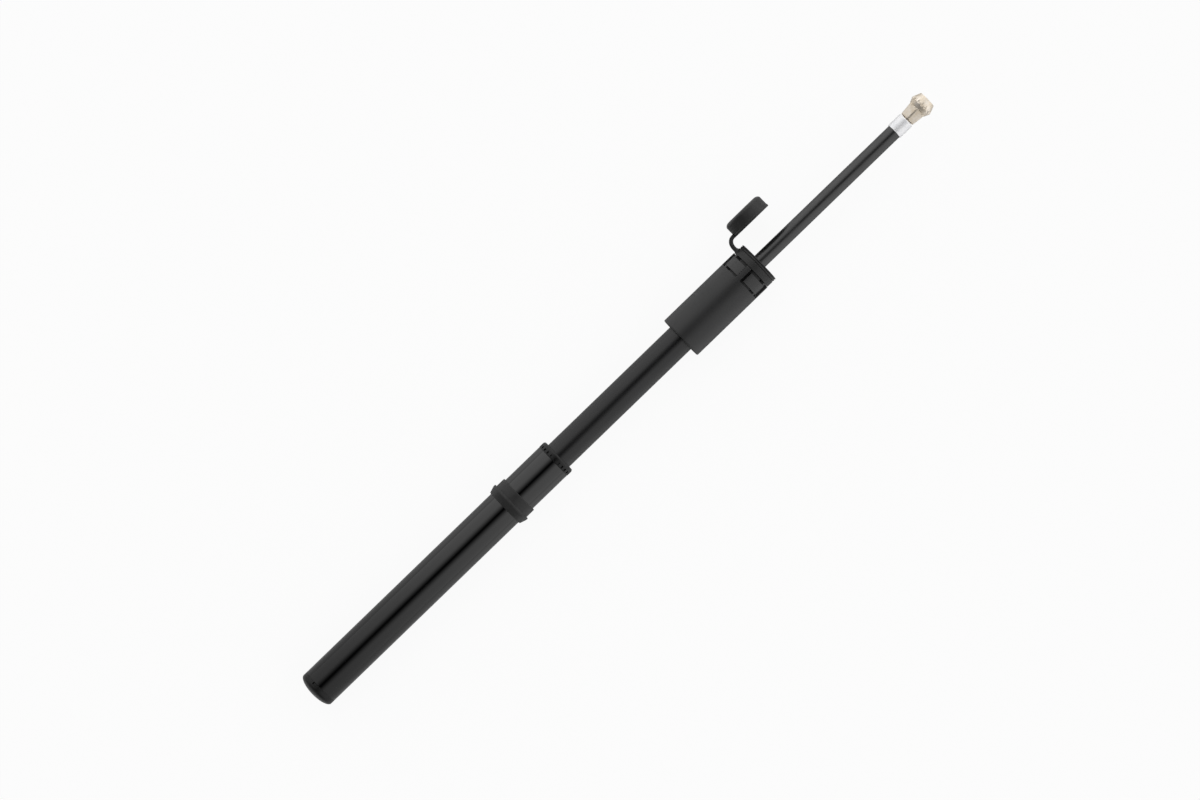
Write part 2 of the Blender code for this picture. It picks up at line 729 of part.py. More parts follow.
def hose_guide_bush(axis, material):
    profile = tube_profile(GUIDE_LENGTH, IN_SHAFT_RADIUS, ROUND_HOSE_RADIUS, EDGE)
    turned("hose_guide_bush", profile, axis, material, GUIDE_START, MEDIUM_SIDES)


# The rubber collar, strap and cap.

def cap_collar(axis, material):
    """Ribbed ring on the head's end, with a lip over the core's edge."""
    bore = CORE_SEAT_RADIUS + FIT
    length = COLLAR_END - COLLAR_START
    lip = length - COLLAR_LIP_WIDTH
    outer = [(0, COLLAR_RADIUS - EDGE), (EDGE, COLLAR_RADIUS)]
    for i in range(COLLAR_GROOVES):
        place = COLLAR_GROOVE_PLACE + COLLAR_GROOVE_PITCH * i
        outer += [
            (place - COLLAR_GROOVE_WIDTH / 2, COLLAR_RADIUS),
            (place, COLLAR_RADIUS - COLLAR_GROOVE_DEPTH),
            (place + COLLAR_GROOVE_WIDTH / 2, COLLAR_RADIUS),
        ]
    profile = [(0, bore)] + outer + [
        (length - EDGE, COLLAR_RADIUS),
        (length, COLLAR_RADIUS - EDGE),
        (length, COLLAR_MOUTH_RADIUS),
        (lip, COLLAR_MOUTH_RADIUS),
        (lip, bore),
    ]
    turned("cap_collar", profile, axis, material, COLLAR_START)


def smooth_path(points, steps):
    """Points along a smooth curve that passes through the given ones."""
    ends = [2 * points[0] - points[1]] + points + [2 * points[-1] - points[-2]]
    path = []
    for before, start, stop, after in zip(ends, ends[1:], ends[2:], ends[3:]):
        for i in range(steps):
            t = i / steps
            path.append(0.5 * (
                2 * start + (stop - before) * t
                + (2 * before - 5 * start + 4 * stop - after) * t ** 2
                + (3 * start - before - 3 * stop + after) * t ** 3))
    return path + [points[-1]]


def cap_strap(pivot, material):
    """Bent strap from the collar to the cap, seen from its root to its tip."""
    root = COLLAR_RADIUS + FIT - PIVOT_HEIGHT
    place = COLLAR_START + STRAP_PLACE - (COLLAR_END - PIVOT_SETBACK)
    tip = cap_centre() - CAP_RADIUS - FIT
    line = cap_rim_height() + STRAP_THICKNESS / 2
    # Shares of the rise to the cap's rim, and of the run from the root to the tip.
    bend = ((0.0, 0.0), (0.35, -0.04), (0.70, 0.09), (0.93, 0.43), (1.0, 0.80), (1.0, 1.0))
    route = [Vector((0, root + rise * (line - root), place + run * (tip - place)))
             for rise, run in bend]
    path = smooth_path(route, 3)
    shape = bmesh.new()
    rows = []
    for point in path:
        rows.append([shape.verts.new(point + Vector((side * STRAP_WIDTH / 2, 0, 0)))
                     for side in (-1, 0, 1)])
    for row, ahead in zip(rows, rows[1:]):
        for i in range(2):
            shape.faces.new((row[i], row[i + 1], ahead[i + 1], ahead[i]))
    mesh = bpy.data.meshes.new("cap_strap")
    shape.to_mesh(mesh)
    shape.free()
    piece = add_object("cap_strap", mesh, pivot, material)
    solidify = piece.modifiers.new("thickness", "SOLIDIFY")
    solidify.thickness = STRAP_THICKNESS
    solidify.offset = 0
    solidify.use_even_offset = True


def cap_rim_height():
    """The open cap's rim, seen from the pivot; it seats on the collar when the cap closes."""
    return PIVOT_SETBACK + FIT


def cap_centre():
    """The open cap's axis, seen from the pivot; it meets the pump's axis when the cap closes."""
    return PIVOT_HEIGHT


def dust_cap(pivot, material):
    """Cup-shaped cap with a rounded back."""
    round_start = CAP_HEIGHT - CAP_ROUND_HEIGHT
    turns = [math.pi / 2 * i / 4 for i in range(5)]
    back = [(round_start + CAP_ROUND_HEIGHT * math.sin(t),
             CAP_RADIUS - CAP_ROUND_WIDTH * (1 - math.cos(t))) for t in turns]
    hollow = CAP_HEIGHT - CAP_ROOF
    profile = [(hollow, 0), (hollow, CAP_BORE_RADIUS), (0, CAP_BORE_RADIUS), (0, CAP_RADIUS)]
    profile += back + [(CAP_HEIGHT, 0)]
    centre = new_axis("cap_axis", pivot, (0, cap_rim_height(), cap_centre()), (-math.pi / 2, 0, 0))
    turned("dust_cap", profile, centre, material)


# The hose and its fittings.

def hose(axis, material):
    """Straight hose with a bore, crimped a little inside the ferrule."""
    crimp = (FERRULE_RADIUS - FERRULE_WALL - FIT / 2) / HOSE_RADIUS
    free = FERRULE_START - FIT - HOSE_START
    stations = [HOSE_START + free * i / (HOSE_POINTS - 3) for i in range(HOSE_POINTS - 2)]
    stations += [FERRULE_START, HOSE_END]
    swell = [1.0] * (HOSE_POINTS - 2) + [crimp, crimp]
    curve = wire_curve("hose", [(0, 0, z) for z in stations], HOSE_RADIUS, 4, swell)
    piece = curve_as_mesh(add_object("hose", curve, axis, material))
    smooth(piece.data)
    bore = rod_mesh("hose_bore", [(HOSE_BORE_RADIUS, HOSE_END - HOSE_START + 2 * FIT,
                                   HOSE_START - FIT, (0, 0))], 12)
    cut(piece, add_cutter("hose_bore", bore, axis))


def barbs(start, length, ridges=3):
    """The ridged outside of a hose barb, from its tip."""
    pitch = length / ridges
    low = BARB_RADIUS - EDGE
    profile = []
    for i in range(ridges):
        profile += [(start + pitch * i, low), (start + pitch * (i + 0.8), BARB_RADIUS)]
    return profile


def hose_plug(axis, material):
    """Sliding plug on the hose's inner end, with a ring groove and a barb."""
    half = ring_groove_width(RING_WIRE_RADIUS) / 2
    groove = IN_SHAFT_RADIUS - 2 * RING_WIRE_RADIUS - FIT / 2
    land = IN_SHAFT_RADIUS - FIT / 2
    barb_end = PLUG_LENGTH + PLUG_BARB_LENGTH
    # The barb's ridges face the plug, so its outline is written from the tip back.
    ridge = [(barb_end - s, r) for s, r in barbs(0, PLUG_BARB_LENGTH)][::-1]
    profile = [
        (0, AIR_RADIUS),
        (0, land - EDGE),
        (EDGE, land),
        (PLUG_LENGTH / 2 - half, land),
        (PLUG_LENGTH / 2 - half, groove),
        (PLUG_LENGTH / 2 + half, groove),
        (PLUG_LENGTH / 2 + half, land),
        (PLUG_LENGTH, land),
        (PLUG_LENGTH, BARB_RADIUS - EDGE),
    ] + ridge + [(barb_end, AIR_RADIUS)]
    turned("hose_plug", profile, axis, material, PLUG_START, SMALL_SIDES)


def hose_plug_oring(axis, material):
    profile = ring_profile(IN_SHAFT_RADIUS - RING_WIRE_RADIUS, RING_WIRE_RADIUS)
    turned("hose_plug_oring", profile, axis, material, PLUG_START + PLUG_LENGTH / 2, MEDIUM_SIDES)


def hose_plug_clamp(axis, material):
    profile = tube_profile(CLAMP_LENGTH, ROUND_HOSE_RADIUS + CLAMP_WALL, ROUND_HOSE_RADIUS, EDGE)
    turned("hose_plug_clamp", profile, axis, material, CLAMP_START, SMALL_SIDES)


def hose_ferrule(axis, material):
    """Crimp ferrule with a rounded, drawn-in end."""
    bore = FERRULE_RADIUS - FERRULE_WALL
    hole = BARB_RADIUS + FIT
    turns = [math.pi / 2 * i / 3 for i in range(4)]
    rounded = [(FERRULE_LENGTH - FERRULE_ROUND * (1 - math.sin(t)),
                FERRULE_RADIUS - FERRULE_ROUND * (1 - math.cos(t))) for t in turns]
    profile = [(0, bore), (0, FERRULE_RADIUS - EDGE), (EDGE, FERRULE_RADIUS)] + rounded + [
        (FERRULE_LENGTH, hole),
        (FERRULE_LENGTH - FERRULE_END, hole),
        (FERRULE_LENGTH - FERRULE_END, bore),
    ]
    turned("hose_ferrule", profile, axis, material, FERRULE_START, MEDIUM_SIDES)


def stem_ring_place():
    """The stem's sealing ring, from the chuck's back face."""
    return CHUCK_BACK_WALL + FIT + STEM_RING_RADIUS


def stem_head_start():
    return stem_ring_place() + STEM_RING_RADIUS + FIT


def stem_head_radius():
    return CHUCK_CHAMBER_RADIUS - FIT


def chuck_stem(axis, material):
    """Barbed stem in the hose's end, whose head holds the chuck on."""
    start = HOSE_END - STEM_BARB_LENGTH
    head = CHUCK_START + stem_head_start() - start
    ridge = [(s, r) for s, r in barbs(0, STEM_BARB_LENGTH)]
    profile = [(0, AIR_RADIUS)] + ridge + [
        (head, BARB_RADIUS),
        (head, stem_head_radius()),
        (head + STEM_HEAD_LENGTH, stem_head_radius()),
        (head + STEM_HEAD_LENGTH, AIR_RADIUS),
    ]
    turned("chuck_stem", profile, axis, material, start, SMALL_SIDES)


def chuck_stem_oring(axis, material):
    centre = BARB_RADIUS + FIT + STEM_RING_RADIUS
    profile = ring_profile(centre, STEM_RING_RADIUS)
    turned("chuck_stem_oring", profile, axis, material, CHUCK_START + stem_ring_place(), SMALL_SIDES)


def chuck_body(axis, material):
    """Screw-on chuck: long spanner flats, a fluted rim and a tapered nose."""
    hex_radius = CHUCK_HEX_APOTHEM / math.cos(math.pi / 6)
    socket = CHUCK_LENGTH - CHUCK_SOCKET_DEPTH
    rim_start = CHUCK_RIM_PLACE - CHUCK_RIM_WIDTH / 2
    rim_end = CHUCK_RIM_PLACE + CHUCK_RIM_WIDTH / 2
    profile = [
        (0, BARB_RADIUS + FIT),
        (0, hex_radius - EDGE),
        (EDGE, hex_radius),
        (CHUCK_HEX_LENGTH, hex_radius),
        (CHUCK_HEX_LENGTH + EDGE, CHUCK_BODY_RADIUS - EDGE),
        (CHUCK_HEX_LENGTH + 2 * EDGE, CHUCK_BODY_RADIUS),
        (rim_start - 2 * EDGE, CHUCK_WAIST_RADIUS),
        (rim_start, CHUCK_RIM_RADIUS),
        (rim_end, CHUCK_RIM_RADIUS),
        (CHUCK_LENGTH - EDGE, CHUCK_NOSE_RADIUS),
        (CHUCK_LENGTH, CHUCK_NOSE_RADIUS - EDGE),
        (CHUCK_LENGTH, CHUCK_SOCKET_RADIUS),
        (socket, CHUCK_SOCKET_RADIUS),
        (socket, CHUCK_CHAMBER_RADIUS),
        (CHUCK_BACK_WALL, CHUCK_CHAMBER_RADIUS),
        (CHUCK_BACK_WALL, BARB_RADIUS + FIT),
    ]
    piece = turned("chuck_body", profile, axis, material, 0.0, MEDIUM_SIDES)
    # The flats' cutter is a disc with a hexagonal hole.
    disc = [(2 * hex_radius, 2 * CHUCK_HEX_LENGTH, -CHUCK_HEX_LENGTH, (0, 0))]
    hexagon = [(hex_radius, 3 * CHUCK_HEX_LENGTH, -1.5 * CHUCK_HEX_LENGTH, (0, 0))]
    flats = add_cutter("chuck_flats", rod_mesh("chuck_flats", disc, MEDIUM_SIDES), axis)
    cut(flats, add_cutter("chuck_hexagon", rod_mesh("chuck_hexagon", hexagon, 6), axis))
    cut(piece, flats)
    centre = CHUCK_RIM_RADIUS + CHUCK_FLUTE_RADIUS - CHUCK_FLUTE_DEPTH
    flute_start = rim_start - 3 * EDGE
    flutes = [(CHUCK_FLUTE_RADIUS, CHUCK_LENGTH + FIT - flute_start, flute_start, place)
              for place in around(CHUCK_FLUTES, centre)]
    cut(piece, add_cutter("chuck_flutes", rod_mesh("chuck_flutes", flutes, 8), axis))


def chuck_seal(axis, material):
    start = CHUCK_LENGTH - CHUCK_SOCKET_DEPTH + FIT
    profile = tube_profile(WASHER_LENGTH, CHUCK_SOCKET_RADIUS - FIT, WASHER_HOLE_RADIUS)
    turned("chuck_seal", profile, axis, material, start, SMALL_SIDES)


def valve_pin(axis, material):
    """Pin that opens the tyre valve, on a base with air holes."""
    start = stem_head_start() + STEM_HEAD_LENGTH + FIT
    base = CHUCK_CHAMBER_RADIUS - FIT
    profile = [
        (0, 0),
        (0, base),
        (PIN_BASE_LENGTH, base),
        (PIN_BASE_LENGTH, PIN_RADIUS),
        (PIN_BASE_LENGTH + PIN_REACH - EDGE, PIN_RADIUS),
        (PIN_BASE_LENGTH + PIN_REACH, PIN_RADIUS - EDGE),
        (PIN_BASE_LENGTH + PIN_REACH, 0),
    ]
    piece = turned("valve_pin", profile, axis, material, start, SMALL_SIDES)
    place = (PIN_RADIUS + base) / 2
    holes = [(PIN_HOLE_RADIUS, PIN_BASE_LENGTH + 2 * FIT, start - FIT, spot)
             for spot in around(PIN_HOLES, place)]
    cut(piece, add_cutter("pin_holes", rod_mesh("pin_holes", holes, 8), axis))


def build():
    gloss_black = new_material("gloss_black_paint", (0.012, 0.012, 0.013), 0.12)
    satin_black = new_material("satin_black_anodising", (0.022, 0.022, 0.024), 0.38, 0.6)
    moulded_black = new_material("moulded_black_plastic", (0.018, 0.018, 0.019), 0.32)
    rubber = new_material("black_rubber", (0.022, 0.022, 0.022), 0.62)
    hose_rubber = new_material("hose_rubber", (0.03, 0.03, 0.031), 0.45)
    seal_rubber = new_material("seal_rubber", (0.015, 0.015, 0.015), 0.5)
    bearing = new_material("bearing_plastic", (0.75, 0.73, 0.68), 0.45)
    silver = new_material("polished_silver", (0.82, 0.82, 0.83), 0.2, 1.0)
    brass = new_material("pale_brass", (0.72, 0.63, 0.5), 0.25, 1.0)
    steel = new_material("spring_steel", (0.6, 0.6, 0.6), 0.3, 1.0)

    pump_axis = new_axis("pump_axis", rotation=(0, math.pi / 2, 0))
    end_cap(pump_axis, moulded_black)
    end_cap_oring(pump_axis, seal_rubber)
    barrel_tube(pump_axis, gloss_black)
    bumper_ring(pump_axis, rubber)
    gland_nut(pump_axis, moulded_black)
    shaft_guide_bush(pump_axis, bearing)
    shaft_wiper(pump_axis, seal_rubber)

    stroke_axis = new_axis("stroke_axis", pump_axis)
    piston_seal_ring(stroke_axis, seal_rubber)
    piston_wear_ring(stroke_axis, bearing)

    handle_axis = new_axis("handle_axis", stroke_axis)
    piston_body(handle_axis, brass)
    check_valve_spring(handle_axis, steel)
    check_valve_retainer(handle_axis, brass)
    shaft_tube(handle_axis, satin_black)
    head_sleeve(handle_axis, satin_black)
    head_core(handle_axis, moulded_black)
    hose_guide_bush(handle_axis, bearing)
    cap_collar(handle_axis, rubber)

    ball_axis = new_axis("ball_axis", handle_axis, (0, 0, PISTON_START + BALL_PLACE))
    check_valve_ball(ball_axis, steel)

    cap_pivot = new_axis("cap_pivot", handle_axis, (0, PIVOT_HEIGHT, COLLAR_END - PIVOT_SETBACK))
    cap_strap(cap_pivot, rubber)
    dust_cap(cap_pivot, rubber)

    hose_axis = new_axis("hose_axis", handle_axis)
    hose(hose_axis, hose_rubber)
    hose_plug(hose_axis, brass)
    hose_plug_oring(hose_axis, seal_rubber)
    hose_plug_clamp(hose_axis, silver)
    hose_ferrule(hose_axis, silver)
    chuck_stem(hose_axis, brass)
    chuck_stem_oring(hose_axis, seal_rubber)

    chuck_axis = new_axis("chuck_axis", hose_axis, (0, 0, CHUCK_START))
    chuck_body(chuck_axis, brass)
    chuck_seal(chuck_axis, seal_rubber)
    valve_pin(chuck_axis, brass)
    bpy.context.view_layer.update()


build()
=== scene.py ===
"""Looks of a telescoping hand pump with a pull-out hose, laid on a white table.

Everything is in metres. The pump's axis is +X, from the end cap towards the
chuck, +Z is up, and the dust cap hangs open on the +Y side.
"""
import math

import bmesh
import bpy
from mathutils import Matrix, Vector


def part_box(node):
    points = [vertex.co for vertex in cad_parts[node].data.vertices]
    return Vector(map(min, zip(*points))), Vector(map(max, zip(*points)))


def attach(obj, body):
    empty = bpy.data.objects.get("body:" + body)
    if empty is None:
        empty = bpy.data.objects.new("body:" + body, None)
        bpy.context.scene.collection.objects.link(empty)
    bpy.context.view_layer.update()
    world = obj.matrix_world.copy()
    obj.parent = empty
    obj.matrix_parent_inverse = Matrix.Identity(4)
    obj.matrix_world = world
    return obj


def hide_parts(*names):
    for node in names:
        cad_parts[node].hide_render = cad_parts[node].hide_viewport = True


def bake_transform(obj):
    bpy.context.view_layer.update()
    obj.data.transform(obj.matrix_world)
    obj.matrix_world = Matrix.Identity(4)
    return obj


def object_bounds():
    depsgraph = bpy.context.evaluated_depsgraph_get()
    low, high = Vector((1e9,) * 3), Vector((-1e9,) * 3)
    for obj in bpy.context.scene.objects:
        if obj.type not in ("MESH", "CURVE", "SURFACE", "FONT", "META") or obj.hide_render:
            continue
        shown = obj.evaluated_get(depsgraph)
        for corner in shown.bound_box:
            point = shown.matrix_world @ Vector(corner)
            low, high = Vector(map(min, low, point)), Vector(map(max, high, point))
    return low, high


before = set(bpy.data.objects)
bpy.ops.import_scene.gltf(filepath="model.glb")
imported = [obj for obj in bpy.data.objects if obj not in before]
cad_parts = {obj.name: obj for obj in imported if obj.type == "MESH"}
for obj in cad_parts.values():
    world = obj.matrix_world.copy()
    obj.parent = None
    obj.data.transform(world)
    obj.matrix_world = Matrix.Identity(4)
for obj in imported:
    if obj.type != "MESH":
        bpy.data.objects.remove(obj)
cad_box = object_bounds()

MM = 0.001
ORIGIN = Vector((0, 0, 0))
PUMP_AXIS = Vector((1, 0, 0))

# The photograph: its frame, the real size of one of its pixels, the point of the
# pump in its middle, and how far the pump's axis is turned from the frame's width.
PHOTO_WIDTH = 1200
PIXEL = 0.56 * MM
PHOTO_MIDDLE = (230.1 * MM, 6.45 * MM)
PHOTO_TURN = math.radians(44.04)
CAMERA_HEIGHT = 3.0
CAMERA_REACH = 100.0
SENSOR = 36.0

# Light: a pale tent, open over the pump's whole length, where the camera looks in.
# A direction's Y share says how far it lies from the opening's middle, and its X
# share how far along the pump. The tent is brighter on the cap's side, dimmer
# towards the end cap, and dimmest behind it.
TENT_LIGHT = 1.22
TENT_SIDE_LIGHT = 0.15
TENT_LEAN = 0.12
OPENING_EDGE = 0.62
OPENING_END_START = 0.4
OPENING_END = 0.8
DIM_START = -0.01
DIM_END = -0.1
DIM_LIGHT = 0.36
BACK_START = -0.15
BACK_END = -0.7
BACK_LIGHT = 0.7

# Table: its own shade and roughness, and the share of its look that is plain white.
FLOOR_SIZE = 12.0
FLOOR_SHADE = 0.92
FLOOR_ROUGHNESS = 0.9
FLOOR_GLOW = 0.93
# A mirrored ray sees the floor glow white away from the pump's axis; close to it and beside the end cap
# the glow fades, a painted shadow of the pump in its reflections.
FLOOR_SHADED = 20 * MM
FLOOR_WHITE = 65 * MM
FLOOR_SHADED_END = 0.0
FLOOR_WHITE_END = 190 * MM

# Fineness of the turned pieces. Points closer than TINY count as one place.
SIDES = 144
SMALL_SIDES = 72
TINY = 0.002 * MM
SHARP_ANGLE = 32.0

# Roundings of turned corners, and the gap between pieces that fit together.
CRISP = 0.12 * MM
SOFT = 0.3 * MM
FIT = 0.3 * MM

# Barrel and end cap.
BARREL_WALL = 1.2 * MM
END_FACE_RADIUS = 3.0 * MM
END_DOME_DEPTH = 3.9 * MM
END_DOME_STEPS = 14
END_RIM_WIDTH = 2.4 * MM
END_SPIGOT_WALL = 2.7 * MM
END_WALL = 2.4 * MM
END_NOTCH_ANGLE = 16.0
END_NOTCH_WIDTH = 3.0 * MM
END_NOTCH_LENGTH = 1.6 * MM
END_NOTCH_DEPTH = 1.1 * MM
END_NOTCH_STEPS = 4

# Bumper ring and gland nut. The ring's back swells over a share of the way to its lip.
RING_LIP_PLACE = 5.2 * MM
RING_SWELL_SHARE = 0.75
RING_BACK_RADIUS = 11.9 * MM
RING_SEAT_RADIUS = 12.1 * MM
NUT_SPIGOT_LENGTH = 7.5 * MM
NUT_RIM = 3.3 * MM
NUT_NOSE_RADIUS = 10.5 * MM
NUT_NOTCHES = 24
NUT_NOTCH_WIDTH = 1.3 * MM
NUT_NOTCH_PLACE = 0.5 * MM
NUT_NOTCH_LENGTH = 1.5 * MM
NUT_NOTCH_DEPTH = 0.8 * MM
WIPER_HEIGHT = 0.8 * MM

# Head. Its windows are parted by narrow tongues of the sleeve, and a slot runs round
# each pad of the core, deep near the top and bottom tongues and shallow at the sides.
SHAFT_WALL = 1.2 * MM
WINDOW_START = 332.1 * MM
WINDOW_ANGLE = 77.0
WINDOW_CENTRES = (45, 135, 225, 315)
WINDOW_STEPS = 28
TONGUE_TURN = 7.0
TONGUE_STEPS = 4
SLEEVE_WALL = 1.05 * MM
SKIRT_ROUND = 0.7 * MM
PAD_END_GAP = 1.3 * MM
PAD_SIDE_GAP = 0.9 * MM
PAD_TURN = 3.0
SLOT_DEPTH = 2.4 * MM
SLOT_WALL = 0.12 * MM
SLOT_HALF_ANGLE = 60.0
SIDE_SLOT_DEPTH = 0.3 * MM
CORE_STEP = 0.6 * MM
CORE_MOUTH_RADIUS = 7.5 * MM
CORE_TONGUE_STEPS = 5
CORE_SLOT_STEPS = 22
CORE_SIDE_STEPS = 24

# Collar, strap and cap.
COLLAR_LIP_WIDTH = 1.0 * MM
COLLAR_MOUTH_RADIUS = 8.2 * MM
COLLAR_GROOVES = 2
COLLAR_GROOVE_WIDTH = 0.7 * MM
COLLAR_GROOVE_DEPTH = 0.45 * MM
COLLAR_GROOVE_PITCH = 1.3 * MM
COLLAR_GROOVE_PLACE = 4.2 * MM
STRAP_PLACE = 1.7 * MM
STRAP_WIDTH = 6.0 * MM
STRAP_THICKNESS = 2.3 * MM
STRAP_ROUND = 0.7 * MM
STRAP_SUNK = 0.3 * MM
STRAP_STEPS = 6
STRAP_FLARE = 1.55
STRAP_FLARE_LENGTH = 1.6 * MM
CAP_ROUND_HEIGHT = 2.2 * MM
CAP_ROUND_WIDTH = 3.0 * MM
CAP_ROUND_STEPS = 8
CAP_ROOF = 2.3 * MM
CAP_BORE_RADIUS = 9.5 * MM
CAP_RIM_HEIGHT = 1.2 * MM
CAP_RIM_STEP = 0.25 * MM
CAP_NODE_SIDES = 36

# Hose and chuck. A hexagon's corners lie HEX_SPAN times as far out as its flats.
HOSE_RADIUS = 4.35 * MM
HOSE_POINTS = 24
HOSE_ROUNDNESS = 14
FERRULE_WALL = 0.5 * MM
FERRULE_ROUND = 0.6 * MM
BARB_RADIUS = 2.0 * MM
HEX_SPAN = 1 / math.cos(math.pi / 6)
HEX_LENGTH = 7.8 * MM
HEX_CORNER = 0.3 * MM
HEX_START_APOTHEM = 4.45 * MM
HEX_END_APOTHEM = 5.3 * MM
CHUCK_BODY_RADIUS = 5.7 * MM
CHUCK_WAIST_RADIUS = 6.6 * MM
CHUCK_RIM_RADIUS = 6.9 * MM
CHUCK_RIM_PLACE = 11.0 * MM
CHUCK_RIM_WIDTH = 1.0 * MM
CHUCK_NOSE_RADIUS = 5.1 * MM
CHUCK_FLUTES = 16
CHUCK_FLUTE_STEPS = 18
CHUCK_FLUTE_RADIUS = 0.8 * MM
CHUCK_FLUTE_DEPTH = 0.5 * MM
CHUCK_SOCKET_RADIUS = 3.9 * MM
CHUCK_SOCKET_DEPTH = 10.3 * MM
WASHER_BORE_RADIUS = 1.6 * MM


# Sizes read from the imported parts.

def ends(node):
    """Where a node starts and ends along the pump's axis."""
    low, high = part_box(node)
    return low.x, high.x


def reach(node):
    """How far a node stands out from the pump's axis."""
    return max(math.hypot(v.co.y, v.co.z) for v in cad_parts[node].data.vertices)


# Camera, light and table.

def photo_camera():
    """The photograph's view: straight down, with the pump running up to the right."""
    lens = bpy.data.cameras.new("photo_camera")
    lens.sensor_width = SENSOR
    lens.lens = SENSOR * CAMERA_HEIGHT / (PHOTO_WIDTH * PIXEL)
    lens.clip_end = CAMERA_REACH
    camera = bpy.data.objects.new("photo_camera", lens)
    camera.location = (*PHOTO_MIDDLE, CAMERA_HEIGHT)
    camera.rotation_euler = (0, 0, -PHOTO_TURN)
    bpy.context.scene.collection.objects.link(camera)
    bpy.context.scene.camera = camera


def add_node(tree, kind, **settings):
    """A node with its own settings, such as operation or blend_type."""
    made = tree.nodes.new("ShaderNode" + kind)
    for name, value in settings.items():
        setattr(made, name, value)
    return made


def math_node(tree, operation, first, second=None, clamp=False):
    """A Math node on sockets or numbers; gives its output."""
    made = add_node(tree, "Math", operation=operation, use_clamp=clamp)
    for place, value in ((0, first), (1, second)):
        if value is None:
            continue
        if isinstance(value, (int, float)):
            made.inputs[place].default_value = value
        else:
            tree.links.new(value, made.inputs[place])
    return made.outputs[0]


def ranged(tree, value, low, high, start=0.0, end=1.0):
    """A value taken smoothly from one range to another."""
    made = add_node(tree, "MapRange", interpolation_type="SMOOTHSTEP")
    tree.links.new(value, made.inputs["Value"])
    for label, number in (("From Min", low), ("From Max", high), ("To Min", start), ("To Max", end)):
        made.inputs[label].default_value = number
    return made.outputs[0]


def light_tent():
    """Soft light from all round, dark above the pump and brighter low on both its sides."""
    world = bpy.data.worlds.new("light_tent")
    world.use_nodes = True
    bpy.context.scene.world = world
    tree = world.node_tree
    direction = add_node(tree, "SeparateXYZ")
    tree.links.new(add_node(tree, "TexCoord").outputs["Generated"], direction.inputs[0])
    aside = math_node(tree, "ABSOLUTE", direction.outputs["Y"])
    side = math_node(tree, "ADD", math_node(tree, "MULTIPLY", aside, TENT_SIDE_LIGHT), TENT_LIGHT)
    side = math_node(tree, "ADD", math_node(tree, "MULTIPLY", direction.outputs["Y"], TENT_LEAN), side)
    dim = math_node(tree, "MULTIPLY",
                    ranged(tree, direction.outputs["X"], DIM_END, DIM_START, DIM_LIGHT, 1.0),
                    ranged(tree, direction.outputs["X"], BACK_END, BACK_START, BACK_LIGHT, 1.0))
    along = math_node(tree, "ABSOLUTE", direction.outputs["X"])
    cover = math_node(tree, "MAXIMUM", ranged(tree, aside, 0.0, OPENING_EDGE),
                      ranged(tree, along, OPENING_END_START, OPENING_END))
    tent = math_node(tree, "MULTIPLY", cover, side)
    camera_ray = add_node(tree, "LightPath").outputs["Is Camera Ray"]
    tree.links.new(math_node(tree, "MAXIMUM", math_node(tree, "MULTIPLY", tent, dim), camera_ray),
                   tree.nodes["Background"].inputs["Strength"])
    tree.nodes["Background"].inputs["Color"].default_value = (1, 1, 1, 1)


def white_table():
    """A plain floor that shows white and keeps a soft part of the pump's shadow; to mirrored rays its
    glow fades near the pump, a painted shadow.
    """
    shape = bmesh.new()
    bmesh.ops.create_grid(shape, x_segments=1, y_segments=1, size=FLOOR_SIZE / 2)
    bmesh.ops.translate(shape, vec=(0, 0, cad_box[0].z - TINY), verts=shape.verts)
    mesh = bpy.data.meshes.new("white_table")
    shape.to_mesh(mesh)
    shape.free()
    table = bpy.data.objects.new("white_table", mesh)
    bpy.context.scene.collection.objects.link(table)
    material = bpy.data.materials.new("white_table")
    material.use_nodes = True
    tree = material.node_tree
    shader = tree.nodes["Principled BSDF"]
    shader.inputs["Base Color"].default_value = (FLOOR_SHADE, FLOOR_SHADE, FLOOR_SHADE, 1)
    shader.inputs["Roughness"].default_value = FLOOR_ROUGHNESS
    shader.inputs["Specular IOR Level"].default_value = 0.0
    glow = add_node(tree, "Emission")
    mix = add_node(tree, "MixShader")
    path = add_node(tree, "LightPath").outputs
    mirrored = math_node(tree, "MAXIMUM", path["Is Glossy Ray"], path["Is Transmission Ray"])
    place = add_node(tree, "SeparateXYZ")
    tree.links.new(add_node(tree, "TexCoord").outputs["Object"], place.inputs[0])
    off_axis = math_node(tree, "ABSOLUTE", place.outputs["Y"])
    # Painted shadow: mirrored rays see less glow near the pump's axis and towards the end cap.
    white = math_node(tree, "MULTIPLY", mirrored, ranged(tree, off_axis, FLOOR_SHADED, FLOOR_WHITE))
    white = math_node(tree, "MULTIPLY", white,
                      ranged(tree, place.outputs["X"], FLOOR_SHADED_END, FLOOR_WHITE_END))
    seen = math_node(tree, "ADD", math_node(tree, "MULTIPLY", path["Is Camera Ray"], FLOOR_GLOW), white)
    tree.links.new(seen, mix.inputs[0])
    tree.links.new(shader.outputs[0], mix.inputs[1])
    tree.links.new(glow.outputs[0], mix.inputs[2])
    tree.links.new(mix.outputs[0], tree.nodes["Material Output"].inputs["Surface"])
    mesh.materials.append(material)


# Effects that several finishes share, as node groups.

def new_group(name, inputs, outputs):
    """An empty shader group with number sockets; gives it with its two end nodes."""
    group = bpy.data.node_groups.new(name, "ShaderNodeTree")
    for label, value in inputs.items():
        socket = group.interface.new_socket(label, in_out="INPUT", socket_type="NodeSocketFloat")
        socket.default_value = value
    for label in outputs:
        group.interface.new_socket(label, in_out="OUTPUT", socket_type="NodeSocketFloat")
    return group, group.nodes.new("NodeGroupInput"), group.nodes.new("NodeGroupOutput")


def place_in_mm(tree):
    """Object coordinates counted in millimetres."""
    scale = add_node(tree, "VectorMath", operation="SCALE")
    tree.links.new(add_node(tree, "TexCoord").outputs["Object"], scale.inputs[0])
    scale.inputs["Scale"].default_value = 1 / MM
    return scale.outputs[0]


